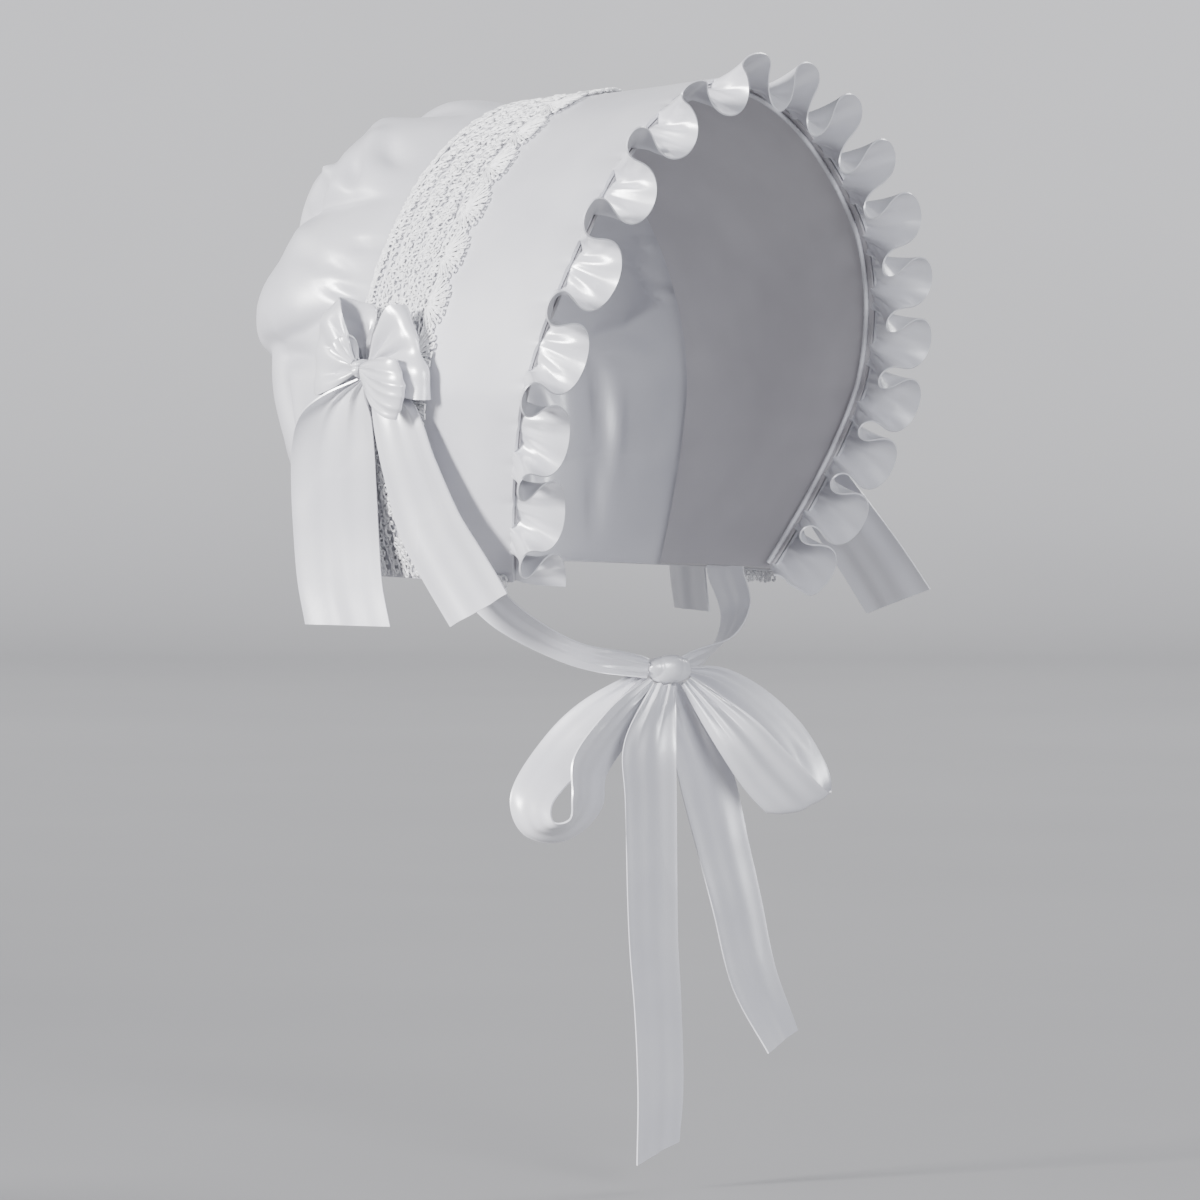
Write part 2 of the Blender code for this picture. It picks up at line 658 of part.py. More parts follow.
def seated(knot, row, reach, width):
    """A bow ribbon's end row, slid in until it is a small gap from its knot."""
    place = np.array(row[:3]) * reach
    half = aimed(row[3:4], row[4:5], IN_KNOT_AXES)[0] * (row[5] * width / 2)
    hold = np.array([0.0, knot.middle[1] if knot.radii[1] < knot.radii[0] else place[1], 0.0])
    return [*(place + seating(knot, place, half, place - hold)) / reach, *row[3:]]


def ribbon_line(rows, origin, axes, reach, width, stations, knot, loop):
    """A bow ribbon's middle line, half-width vectors and width shares."""
    rows = [list(row) for row in rows]
    rows[0] = seated(knot, rows[0], reach, width)
    if loop:
        rows[-1] = seated(knot, rows[-1], reach, width)
    values = spline(rows, stations)
    side, out, up = axes
    middle = origin + reach * (values[:, :1] * side + values[:, 1:2] * out + values[:, 2:3] * up)
    half = aimed(values[:, 3], values[:, 4], axes) * (values[:, 5:6] * width / 2)
    return middle, half, values[:, 5]


def make_ribbon(name, rows, origin, axes, reach, width, stations, knot, loop, mat):
    middle, half, _ = ribbon_line(rows, origin, axes, reach, width, stations, knot, loop)
    sheet(name, np.stack([middle - half, middle + half], axis=1), RIBBON_WALL, mat)


def make_knot(name, knot, origin, axes, mat):
    """A small stuffed knot: a boxy ball stretched along three directions."""
    bm = bmesh.new()
    bmesh.ops.create_uvsphere(bm, u_segments=12, v_segments=7, radius=1.0)
    for vert in bm.verts:
        round_place = np.array(vert.co)
        level = (np.abs(round_place) ** knot.boxiness).sum() ** (1 / knot.boxiness)
        place = knot.middle + round_place / level * knot.radii
        vert.co = origin + sum(axis * place[k] for k, axis in enumerate(axes))
    finish(name, bm, mat)


def bow_place(mirror):
    """The middle of a side bow, and the lace under it."""
    shares = [BOW_ARCH_SHARE, BOW_ARCH_SHARE + 0.01]
    grid = brim_grid(shares, [BOW_BACK_SHARE, 1.0])
    surface = grid[0, 0] + normals(grid)[0, 0] * (LACE_LIFT + LACE_WALL)
    place = surface + np.array([-SIDE_BOW_STANDOFF, 0.0, 0.0])
    return place * np.array([mirror, 1.0, 1.0])


def side_bow_knot_and_axes(mirror):
    axes = (np.array([0.0, -1.0, 0.0]), np.array([-mirror, 0.0, 0.0]), np.array([0.0, 0.0, 1.0]))
    depth = (SIDE_BOW_STANDOFF - GAP + SIDE_KNOT_FRONT) / 2
    radii = np.array([SIDE_KNOT_HALF_WIDTH, depth, SIDE_KNOT_HALF_HEIGHT])
    return Knot(np.array([0.0, SIDE_KNOT_FRONT - depth, 0.0]), radii, SIDE_KNOT_BOXINESS), axes


def make_side_bow(side, mirror, tail_front, satin):
    place = bow_place(mirror)
    knot, axes = side_bow_knot_and_axes(mirror)
    width = SIDE_RIBBON_WIDTH
    pieces = (
        ("loop_front", SIDE_LOOP_FRONT, SIDE_BOW_REACH, 15),
        ("loop_back", SIDE_LOOP_BACK, SIDE_BOW_REACH, 15),
        ("lobe_front", SIDE_LOBE_FRONT, SIDE_BOW_REACH, 13),
        ("lobe_back", SIDE_LOBE_BACK, SIDE_BOW_REACH, 9),
        ("tail_front", tail_front, SIDE_TAIL_LENGTH, 13),
        ("tail_back", SIDE_TAIL_BACK, SIDE_TAIL_LENGTH, 13),
    )
    make_knot(f"{side}_bow_knot", knot, place, axes, satin)
    for piece, rows, reach, stations in pieces:
        loop = not piece.startswith("tail")
        name = f"{side}_bow_{piece}"
        make_ribbon(name, rows, place, axes, reach, width, stations, knot, loop, satin)


def chin_place():
    return np.array([0.0, FRONT_Y + CHIN_KNOT_BEHIND_FRONT, FOOT_Z - CHIN_KNOT_BELOW_FOOT])


def chin_knot_and_axes():
    turn = CHIN_BOW_TURN
    axes = np.array([
        [math.cos(turn), math.sin(turn), 0.0],
        [math.sin(turn), -math.cos(turn), 0.0],
        [0.0, 0.0, 1.0],
    ])
    radii = np.array([CHIN_KNOT_HALF_WIDTH, CHIN_KNOT_HALF_DEPTH, CHIN_KNOT_HALF_HEIGHT])
    return Knot(np.zeros(3), radii, CHIN_KNOT_BOXINESS), axes


def chin_strand_line(mirror, stations):
    """From inside the brim's foot down to the chin knot: as ribbon_line."""
    knot, knot_axes = chin_knot_and_axes()
    place = chin_place()
    start_y = FRONT_Y + FOOT_SETBACK + STRAND_STARTS_BEHIND_FOOT
    back = STRAND_STARTS_BEHIND_FOOT / (BRIM_DEPTH - FOOT_SETBACK)
    foot_half = OPENING_FOOT_HALF_WIDTH + (SEAM_FOOT_HALF_WIDTH - OPENING_FOOT_HALF_WIDTH) * back
    inside = foot_half - BRIM_WALLS - GAP - RIBBON_WALL / 2
    rows = []
    for row in CHIN_STRAND:
        x = -row.across * inside * mirror
        y = start_y + (place[1] - start_y) * row.forward
        z = FOOT_Z + (place[2] - FOOT_Z) * row.down
        rows.append([x, y, z, row.turn, row.tip, row.width])
    axes = (np.array([mirror, 0.0, 0.0]), np.array([0.0, -1.0, 0.0]), np.array([0.0, 0.0, 1.0]))
    last = rows[-1]
    half = aimed(last[3:4], last[4:5], axes)[0] * (last[5] * CHIN_RIBBON_WIDTH / 2)
    slide = np.array([-mirror * CHIN_KNOT_HALF_WIDTH, 0.0, 0.0])
    moved = seating(knot, knot_axes @ (last[:3] - place), knot_axes @ half, knot_axes @ slide)
    last[:3] = last[:3] + knot_axes.T @ moved
    values = spline(rows, stations)
    half = aimed(values[:, 3], values[:, 4], axes) * (values[:, 5:6] * CHIN_RIBBON_WIDTH / 2)
    return values[:, :3], half, values[:, 5]


def make_chin_strand(side, mirror, satin):
    middle, half, _ = chin_strand_line(mirror, 13)
    grid = np.stack([middle - half, middle + half], axis=1)
    sheet(f"chin_strand_{side}", grid, RIBBON_WALL, satin)


def make_chin_tie(satin):
    make_chin_strand("near", 1.0, satin)
    make_chin_strand("far", -1.0, satin)
    place = chin_place()
    knot, axes = chin_knot_and_axes()
    make_knot("chin_knot", knot, place, axes, satin)
    pieces = (
        ("loop_near", CHIN_LOOP_NEAR, CHIN_LOOP_REACH, 23),
        ("loop_far", CHIN_LOOP_FAR, CHIN_LOOP_REACH, 21),
        ("tail_near", CHIN_TAIL_NEAR, CHIN_TAIL_LENGTH, 15),
        ("tail_far", CHIN_TAIL_FAR, CHIN_TAIL_LENGTH, 13),
    )
    width = CHIN_RIBBON_WIDTH
    for piece, rows, reach, stations in pieces:
        loop = piece.startswith("loop")
        name = f"chin_{piece}"
        make_ribbon(name, rows, place, axes, reach, width, stations, knot, loop, satin)


def main():
    clear_scene()
    satin = make_material("white_satin", SATIN_COLOUR, 0.34)
    lining_cloth = make_material("lining_satin", LINING_COLOUR, 0.42)
    lace = make_material("white_lace", LACE_COLOUR, 0.85)
    make_brim(satin, lining_cloth)
    make_piping(satin)
    make_ruffle(satin)
    make_crown(satin)
    make_lace_band(lace)
    sides = (("near", 1.0, SIDE_TAIL_FRONT), ("far", -1.0, FAR_TAIL_FRONT))
    for side, mirror, tail_front in sides:
        make_hem(side, mirror, lace)
        make_side_bow(side, mirror, tail_front, satin)
    make_chin_tie(satin)


main()
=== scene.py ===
"""The satin poke bonnet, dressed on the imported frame.

Metres, +Z up, the frame's own axes. The named sizes and the line functions are
the source's, repeated here because this script reads nothing but the frame.
"""
import math
from collections import namedtuple

import bpy
import numpy as np
from mathutils import Matrix, Vector


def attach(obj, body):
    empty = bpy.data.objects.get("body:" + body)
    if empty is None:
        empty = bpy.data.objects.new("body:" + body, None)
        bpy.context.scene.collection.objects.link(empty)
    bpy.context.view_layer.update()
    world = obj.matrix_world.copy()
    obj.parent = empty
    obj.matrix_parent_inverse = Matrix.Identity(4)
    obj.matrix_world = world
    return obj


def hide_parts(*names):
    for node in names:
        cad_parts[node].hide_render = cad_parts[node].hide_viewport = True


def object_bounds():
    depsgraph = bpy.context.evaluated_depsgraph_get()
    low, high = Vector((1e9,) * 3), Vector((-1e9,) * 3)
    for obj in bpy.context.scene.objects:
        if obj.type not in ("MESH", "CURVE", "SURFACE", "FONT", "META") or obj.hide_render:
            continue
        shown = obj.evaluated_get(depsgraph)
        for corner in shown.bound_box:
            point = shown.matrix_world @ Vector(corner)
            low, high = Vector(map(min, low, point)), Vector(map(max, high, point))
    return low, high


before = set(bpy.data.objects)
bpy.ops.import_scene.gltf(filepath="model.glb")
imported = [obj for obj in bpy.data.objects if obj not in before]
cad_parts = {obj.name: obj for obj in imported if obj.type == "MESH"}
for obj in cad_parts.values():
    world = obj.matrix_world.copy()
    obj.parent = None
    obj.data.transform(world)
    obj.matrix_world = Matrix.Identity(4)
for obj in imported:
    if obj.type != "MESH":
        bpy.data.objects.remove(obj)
CAD_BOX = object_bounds()

# The source's named sizes: front opening
OPENING_HALF_WIDTH = 0.104
OPENING_RISE = 0.1375
OPENING_LEG = 0.084
OPENING_FOOT_SHARE = 0.76
OPENING_FOOT_HALF_WIDTH = OPENING_HALF_WIDTH * OPENING_FOOT_SHARE
EDGE_TOP_ABOVE_ORIGIN = 0.017
FRONT_REACH = 0.145
FOOT_SETBACK = 0.054
SETBACK_STARTS_BELOW_TOP = 0.063
SETBACK_CURVE = 1.35

# Seam of brim and crown
BRIM_DEPTH = 0.133
SEAM_NARROWER = 0.003
SEAM_HALF_WIDTH = OPENING_HALF_WIDTH - SEAM_NARROWER
SEAM_SINK = 0.011
SEAM_FOOT_WIDER = 0.005
SEAM_FOOT_HALF_WIDTH = OPENING_FOOT_HALF_WIDTH + SEAM_FOOT_WIDER

# Curves of both arches
ARCH_POWER = 1.8
LEG_CURVE = 1.5

# Cloth
SHELL_WALL = 0.0020
LINING_WALL = 0.0010
LACE_WALL = 0.0012
RIBBON_WALL = 0.0010
GAP = 0.0003

# Crown
CROWN_DEPTH = 0.108
CROWN_BOXINESS = 3.7
CROWN_TAPER_SHARE = 0.23
TAPER_STARTS_ABOVE_WIDEST = 0.035
NAPE_SHARE = 0.07
PUFF_HEIGHT = 0.011
PUFF_RISE_SHARE = 0.22

# Ruffle and piping
RUFFLE_PITCH = 0.031
RUFFLE_REACH = 0.0200
RUFFLE_FLARE = 0.0020
RUFFLE_BASE_BEND = math.radians(64)
RUFFLE_FREE_BEND = math.radians(98)
RUFFLE_NEAR_SHARE = 0.422
RUFFLE_START_PHASE = -0.30
PIPING_RADIUS = 0.0011
PIPING_BACK = 0.0030

# Lace
LACE_WIDTH = 0.054
LACE_LIFT = 0.0009
HEM_HEIGHT = 0.0080
HEM_BELOW_EDGE = 0.0050
HEM_LENGTH = 0.044
HEM_LEAN = 0.0012

# Side bows
SIDE_RIBBON_WIDTH = 0.043
SIDE_BOW_REACH = 0.040
SIDE_TAIL_LENGTH = 0.110
SIDE_BOW_STANDOFF = 0.0092
BOW_ARCH_SHARE = 0.181
BOW_BACK_SHARE = 0.85
SIDE_KNOT_HALF_WIDTH = 0.0024
SIDE_KNOT_HALF_HEIGHT = 0.0040
SIDE_KNOT_FRONT = 0.0062
SIDE_KNOT_BOXINESS = 3.2

# Chin tie
CHIN_RIBBON_WIDTH = 0.0265
CHIN_KNOT_BELOW_FOOT = 0.0405
CHIN_KNOT_BEHIND_FRONT = 0.039
CHIN_BOW_TURN = math.radians(-20)
CHIN_LOOP_REACH = 0.080
CHIN_TAIL_LENGTH = 0.219
CHIN_KNOT_HALF_WIDTH = 0.0102
CHIN_KNOT_HALF_HEIGHT = 0.0063
CHIN_KNOT_HALF_DEPTH = 0.0055
CHIN_KNOT_BOXINESS = 2.3
STRAND_STARTS_BEHIND_FOOT = 0.031

FRONT_Y = -FRONT_REACH
SEAM_Y = FRONT_Y + BRIM_DEPTH
WIDEST_Z = EDGE_TOP_ABOVE_ORIGIN - OPENING_RISE
FOOT_Z = WIDEST_Z - OPENING_LEG
BRIM_WALLS = SHELL_WALL + GAP + LINING_WALL
KNOT_GAP = GAP + RIBBON_WALL / 2

# One row for each puff between two creases, from the near foot to the ridge.
# Shares: foot and ridge side of the puff along the seam, height of PUFF_HEIGHT.
Puff = namedtuple("Puff", "starts ends height")
NEAR_PUFFS = (
    Puff(0.000, 0.100, 0.30),
    Puff(0.100, 0.224, 0.12),
    Puff(0.224, 0.352, 0.80),
    Puff(0.352, 0.457, 0.95),
)
RIDGE_PUFF = Puff(0.457, 0.543, 0.45)

# Over the top the ruffle leans forward: place along the front edge from the near
# foot, and the share of its outward swing that is lost there.
RUFFLE_LEAN = ((0.30, 0.00), (0.38, 0.20), (0.45, 0.62), (0.50, 0.50), (0.56, 0.22), (0.62, 0.00))

# A ribbon's sections, as shares of its length and width: side, out and up place
# its middle, turn and tip (degrees) aim its width, and the last is its spread.
SIDE_LOOP_FRONT = (
    (0.090, -0.120, 0.03, 100, 0, 0.10),
    (0.350, -0.165, 0.10, 105, 0, 0.60),
    (0.680, -0.165, 0.18, 110, 0, 0.95),
    (0.820, -0.090, 0.19, 112, 0, 1.03),
    (0.700, 0.010, 0.19, 112, 0, 1.00),
    (0.370, 0.010, 0.10, 105, 0, 0.60),
    (0.095, -0.025, 0.03, 100, 0, 0.10),
)
SIDE_LOOP_BACK = (
    (-0.090, -0.120, 0.03, 85, 0, 0.10),
    (-0.200, -0.165, 0.22, 66, 0, 0.85),
    (-0.480, -0.110, 0.26, 70, 0, 1.00),
    (-0.680, 0.010, 0.27, 70, 0, 1.08),
    (-0.530, 0.100, 0.25, 72, 0, 1.00),
    (-0.300, 0.070, 0.15, 80, 0, 0.60),
    (-0.095, -0.010, 0.04, 85, 0, 0.10),
)
SIDE_LOBE_FRONT = (
    (0.095, 0.045, -0.03, 95, 0, 0.10),
    (0.390, 0.060, -0.14, 92, 0, 0.48),
    (0.690, 0.090, -0.22, 88, 0, 0.60),
    (0.800, 0.165, -0.24, 88, 0, 0.60),
    (0.660, 0.240, -0.22, 88, 0, 0.58),
    (0.360, 0.215, -0.14, 90, 0, 0.44),
    (0.095, 0.120, -0.03, 95, 0, 0.10),
)
SIDE_LOBE_BACK = (
    (-0.085, 0.055, 0.10, 40, 0, 0.09),
    (-0.130, 0.095, 0.19, 28, 0, 0.26),
    (-0.190, 0.140, 0.28, 25, 0, 0.33),
    (-0.200, 0.205, 0.31, 25, 0, 0.32),
    (-0.150, 0.200, 0.23, 25, 0, 0.28),
    (-0.085, 0.120, 0.11, 40, 0, 0.09),
)
SIDE_TAIL_BACK = (
    (-0.030, -0.018, -0.046, 0, -10, 0.09),
    (-0.112, -0.010, -0.105, 0, -15, 0.46),
    (-0.165, -0.010, -0.190, 0, -18, 0.78),
    (-0.205, -0.018, -0.330, 0, -20, 0.95),
    (-0.230, -0.036, -0.490, 0, -20, 1.00),
    (-0.240, -0.055, -0.675, 0, -20, 1.00),
    (-0.230, -0.068, -0.870, 0, -20, 1.00),
    (-0.192, -0.077, -1.042, 0, -20, 1.00),
)
SIDE_TAIL_FRONT = (
    (0.030, -0.030, -0.050, 0, 0, 0.09),
    (0.132, -0.040, -0.145, 4, 0, 0.68),
    (0.228, -0.050, -0.390, 11, 4, 0.90),
    (0.320, -0.073, -0.610, 16, 2, 0.98),
    (0.432, -0.100, -0.780, 18, 0, 1.00),
    (0.562, -0.127, -0.952, 23, 0, 0.96),
)
FAR_TAIL_FRONT = (
    (0.027, -0.030, -0.046, 0, 0, 0.11),
    (0.170, -0.035, -0.140, 2, 0, 0.72),
    (0.370, -0.020, -0.345, 5, 0, 0.90),
    (0.590, 0.005, -0.590, 9, 0, 0.98),
    (0.745, 0.040, -0.780, 13, 0, 1.00),
    (0.885, 0.080, -0.975, 17, 0, 0.98),
)

CHIN_LOOP_NEAR = (
    (-0.130, -0.030, -0.030, 110, -20, 0.25),
    (-0.400, -0.090, -0.280, 125, -40, 0.85),
    (-0.600, -0.110, -0.480, 135, -55, 1.00),
    (-0.790, -0.060, -0.700, 162, -68, 1.00),
    (-0.780, 0.000, -0.860, 233, -74, 1.00),
    (-0.640, 0.060, -0.870, 295, -62, 1.00),
    (-0.530, 0.075, -0.724, 338, -38, 1.00),
    (-0.500, 0.060, -0.520, 335, -32, 1.00),
    (-0.330, 0.055, -0.300, 322, -30, 0.85),
    (-0.145, 0.020, -0.110, 320, -15, 0.22),
)
CHIN_LOOP_FAR = (
    (0.122, -0.012, -0.030, 87, 0, 0.25),
    (0.308, -0.055, -0.112, 60, 0, 0.72),
    (0.508, -0.070, -0.262, 53, 0, 1.00),
    (0.695, -0.058, -0.470, 47, 0, 1.18),
    (0.800, -0.035, -0.670, 31, 0, 1.24),
    (0.808, 0.005, -0.765, 18, 0, 1.22),
    (0.763, 0.050, -0.765, 17, 0, 1.14),
    (0.558, 0.085, -0.573, 30, 0, 1.00),
    (0.358, 0.085, -0.343, 31, 0, 0.80),
    (0.135, 0.020, -0.085, 40, 0, 0.22),
)
CHIN_TAIL_NEAR = (
    (-0.018, 0.018, -0.045, -8, 0, 0.42),
    (-0.060, 0.045, -0.150, -5, -6, 0.98),
    (-0.056, 0.040, -0.270, 0, -10, 1.00),
    (-0.045, 0.025, -0.526, 2, -14, 1.00),
    (-0.032, 0.018, -0.685, 3, -17, 1.00),
    (-0.023, 0.010, -0.842, 6, -18, 1.00),
    (-0.027, 0.006, -0.985, 20, -20, 1.00),
)
CHIN_TAIL_FAR = (
    (0.016, -0.016, -0.045, 5, 0, 0.42),
    (0.096, -0.045, -0.210, 12, -6, 1.00),
    (0.137, -0.040, -0.372, 12, -10, 1.00),
    (0.163, -0.030, -0.487, 12, -14, 1.00),
    (0.196, -0.018, -0.638, 16, -18, 1.00),
    (0.254, -0.005, -0.770, 22, -34, 1.00),
)

# The chin strand: across is a share of the foot's inner half-width, forward and
# down are shares of the way from its start to the chin knot.
StrandSection = namedtuple("StrandSection", "across forward down turn tip width")
CHIN_STRAND = (
    StrandSection(1.029, 0.00, -0.20, 60, 88, 0.95),
    StrandSection(0.986, 0.03, 0.02, 62, 84, 0.95),
    StrandSection(0.873, 0.38, 0.44, 66, 74, 0.85),
    StrandSection(0.569, 0.70, 0.80, 74, 62, 0.65),
    StrandSection(0.147, 0.97, 0.985, 85, 5, 0.33),
)


def unit(vectors):
    lengths = np.linalg.norm(vectors, axis=-1, keepdims=True)
    return vectors / np.maximum(lengths, 1e-12)


def running_length(points):
    steps = np.linalg.norm(np.diff(points, axis=0), axis=1)
    return np.concatenate([[0.0], np.cumsum(steps)])


def between(wanted, known, values):
    """Each column of the values, read at the wanted places."""
    return np.stack([np.interp(wanted, known, column) for column in values.T], axis=1)


def resample(points, shares):
    """Points at the given shares of a polyline's length."""
    length = running_length(points)
    return between(np.asarray(shares) * length[-1], length, points)


def line_length(points):
    return float(np.linalg.norm(np.diff(points, axis=0), axis=1).sum())


def arch(half_width, rise, foot_half_width, shares):
    """x and z of a horseshoe, from the near foot over the ridge to the far foot."""
    down = np.linspace(1.0, 0.0, 80)[:-1]
    leg_half = half_width - (half_width - foot_half_width) * down ** LEG_CURVE
    leg_z = WIDEST_Z - down * OPENING_LEG
    angle = np.linspace(0.0, math.pi, 241)
    top_x = -np.sign(np.cos(angle)) * half_width * np.abs(np.cos(angle)) ** (2 / ARCH_POWER)
    top_z = WIDEST_Z + rise * np.abs(np.sin(angle)) ** (2 / ARCH_POWER)
    x = np.concatenate([-leg_half, top_x, leg_half[::-1]])
    z = np.concatenate([leg_z, top_z, leg_z[::-1]])
    return resample(np.stack([x, z], axis=1), shares)


def front_edge(shares):
    """The brim's front edge, swept back towards its feet."""
    outline = arch(OPENING_HALF_WIDTH, OPENING_RISE, OPENING_FOOT_HALF_WIDTH, shares)
    starts = EDGE_TOP_ABOVE_ORIGIN - SETBACK_STARTS_BELOW_TOP
    down = np.clip((starts - outline[:, 1]) / (starts - FOOT_Z), 0.0, 1.0)
    y = FRONT_Y + FOOT_SETBACK * down ** SETBACK_CURVE
    return np.stack([outline[:, 0], y, outline[:, 1]], axis=1)


def seam(shares):
    """The back edge of the brim, in one plane across the head."""
    outline = arch(SEAM_HALF_WIDTH, OPENING_RISE - SEAM_SINK, SEAM_FOOT_HALF_WIDTH, shares)
    y = np.full(len(outline), SEAM_Y)
    return np.stack([outline[:, 0], y, outline[:, 1]], axis=1)


def brim_grid(shares, depths):
    """The brim's outer face: shares run along the arch, depths from edge to seam."""
    front = front_edge(shares)
    back = seam(shares)
    depth = np.asarray(depths)[None, :, None]
    return front[:, None, :] * (1 - depth) + back[:, None, :] * depth


def normals(grid):
    """Outward normals of a grid whose columns run along the arch."""
    return unit(np.cross(np.gradient(grid, axis=0), np.gradient(grid, axis=1)))


def meander(bend, waves, steps):
    """Waves of a ribbon on edge, whose heading swings by bend each way."""
    fine = np.linspace(RUFFLE_START_PHASE, RUFFLE_START_PHASE + waves, 720 * waves + 1)
    through = (fine - fine[0]) / waves
    skew = RUFFLE_SKEW * np.cos(math.pi * np.clip(through, 0.0, 1.0))
    heading = bend * (np.cos(2 * math.pi * fine) + skew * np.sin(4 * math.pi * fine))
    step = fine[1] - fine[0]
    mid_cos = (np.cos(heading[1:]) + np.cos(heading[:-1])) / 2
    mid_sin = (np.sin(heading[1:]) + np.sin(heading[:-1])) / 2
    along = np.concatenate([[0.0], np.cumsum(mid_cos * step)])
    rise = np.concatenate([[0.0], np.cumsum(mid_sin * step)])
    rise = (rise - (rise.max() + rise.min()) / 2) / along[-1]
    along = along / along[-1]
    wanted = np.linspace(fine[0], fine[-1], waves * steps + 1)
    return np.interp(wanted, fine, along), np.interp(wanted, fine, rise)


def all_puffs():
    far = [Puff(1 - puff.ends, 1 - puff.starts, puff.height) for puff in reversed(NEAR_PUFFS)]
    return [*NEAR_PUFFS, RIDGE_PUFF, *far]


def puff_swell(puff, step):
    """Height share of a puff at a step from its lower crease: cloth droops low."""
    centre_puff = puff is RIDGE_PUFF
    near = puff.starts < 0.5
    low = step if near else 1 - step
    lean = 1.0 if centre_puff else 0.62
    return puff.height * math.sin(math.pi * low ** lean) ** 0.7 if 0 < low < 1 else 0.0


def crown_grid(shares, rows):
    """The crown's face without puffs: columns run from the seam down to the nape."""
    mouth = seam(shares)
    last = math.acos(NAPE_SHARE ** (CROWN_BOXINESS / 2))
    angles = last * np.linspace(0.0, 1.0, rows + 1) ** 1.15
    base = np.zeros((len(shares), len(angles), 3))
    for j, angle in enumerate(angles):
        spread = math.cos(angle) ** (2 / CROWN_BOXINESS)
        depth = math.sin(angle) ** (2 / CROWN_BOXINESS)
        height = FOOT_Z + (mouth[:, 2] - FOOT_Z) * spread
        low = (WIDEST_Z + TAPER_STARTS_ABOVE_WIDEST - height) / OPENING_LEG
        drawn_in = 1 - CROWN_TAPER_SHARE * np.clip(low, 0.0, 1.0) * depth
        base[:, j, 0] = mouth[:, 0] * spread * (1 + drawn_in) / 2
        base[:, j, 1] = SEAM_Y + GAP + CROWN_DEPTH * depth * drawn_in
        base[:, j, 2] = height
    base[[0, -1], :, 2] = FOOT_Z
    return base


def spline(rows, count):
    """Smooth values through a table's rows, at equal steps of length."""
    table = np.array(rows, dtype=float)
    padded = np.vstack([2 * table[0] - table[1], table, 2 * table[-1] - table[-2]])
    fine = []
    for k in range(1, len(padded) - 2):
        a, b, c, d = padded[k - 1:k + 3]
        for t in np.linspace(0.0, 1.0, 24, endpoint=False):
            fine.append(0.5 * (2 * b + (c - a) * t + (2 * a - 5 * b + 4 * c - d) * t ** 2
                               + (3 * b - a - 3 * c + d) * t ** 3))
    fine.append(padded[-2])
    fine = np.array(fine)
    length = running_length(fine[:, :3])
    return between(np.linspace(0.0, length[-1], count), length, fine)


def aimed(turn, tip, axes):
    """Unit vectors at turn in the face and tip towards the viewer, in degrees."""
    side, out, up = axes
    turn, tip = np.radians(turn)[:, None], np.radians(tip)[:, None]
    return np.cos(tip) * (np.cos(turn) * side + np.sin(turn) * up) + np.sin(tip) * out


# A knot's middle (side, out, up), its radii along them, and how boxy it is.
Knot = namedtuple("Knot", "middle radii boxiness")
IN_KNOT_AXES = np.eye(3)


def height_over(knot, points):
    """How far points stand over a knot's face."""
    away = np.abs(points - knot.middle)
    size = (away / knot.radii) ** knot.boxiness
    level = size.sum(axis=1) ** (1 / knot.boxiness)
    slope = (away / knot.radii) ** (knot.boxiness - 1) / knot.radii
    slope = slope / level[:, None] ** (knot.boxiness - 1)
    return (level - 1) / np.linalg.norm(slope, axis=1)


def seating(knot, place, half, slide):
    """The move along slide, which points away, that sets an end a small gap from its knot."""
    samples = place + np.linspace(-1.0, 1.0, 9)[:, None] * half
    near, far = -1.0, 1.0
    for _ in range(40):
        share = (near + far) / 2
        clear = height_over(knot, samples + slide * share).min() > KNOT_GAP
        near, far = (near, share) if clear else (share, far)
    return slide * far


def seated(knot, row, reach, width):
    """A bow ribbon's end row, slid in until it is a small gap from its knot."""
    place = np.array(row[:3]) * reach
    half = aimed(row[3:4], row[4:5], IN_KNOT_AXES)[0] * (row[5] * width / 2)
    hold = np.array([0.0, knot.middle[1] if knot.radii[1] < knot.radii[0] else place[1], 0.0])
    return [*(place + seating(knot, place, half, place - hold)) / reach, *row[3:]]


def ribbon_line(rows, origin, axes, reach, width, stations, knot, loop):
    """A bow ribbon's middle line, half-width vectors and width shares."""
    rows = [list(row) for row in rows]
    rows[0] = seated(knot, rows[0], reach, width)
    if loop:
        rows[-1] = seated(knot, rows[-1], reach, width)
    values = spline(rows, stations)
    side, out, up = axes
    middle = origin + reach * (values[:, :1] * side + values[:, 1:2] * out + values[:, 2:3] * up)
    half = aimed(values[:, 3], values[:, 4], axes) * (values[:, 5:6] * width / 2)
    return middle, half, values[:, 5]


def bow_place(mirror):
    """The middle of a side bow, and the lace under it."""
    shares = [BOW_ARCH_SHARE, BOW_ARCH_SHARE + 0.01]
    grid = brim_grid(shares, [BOW_BACK_SHARE, 1.0])
    surface = grid[0, 0] + normals(grid)[0, 0] * (LACE_LIFT + LACE_WALL)
    place = surface + np.array([-SIDE_BOW_STANDOFF, 0.0, 0.0])
    return place * np.array([mirror, 1.0, 1.0])


def side_bow_knot_and_axes(mirror):
    axes = (np.array([0.0, -1.0, 0.0]), np.array([-mirror, 0.0, 0.0]), np.array([0.0, 0.0, 1.0]))
    depth = (SIDE_BOW_STANDOFF - GAP + SIDE_KNOT_FRONT) / 2
    radii = np.array([SIDE_KNOT_HALF_WIDTH, depth, SIDE_KNOT_HALF_HEIGHT])
    return Knot(np.array([0.0, SIDE_KNOT_FRONT - depth, 0.0]), radii, SIDE_KNOT_BOXINESS), axes


def chin_place():
    return np.array([0.0, FRONT_Y + CHIN_KNOT_BEHIND_FRONT, FOOT_Z - CHIN_KNOT_BELOW_FOOT])


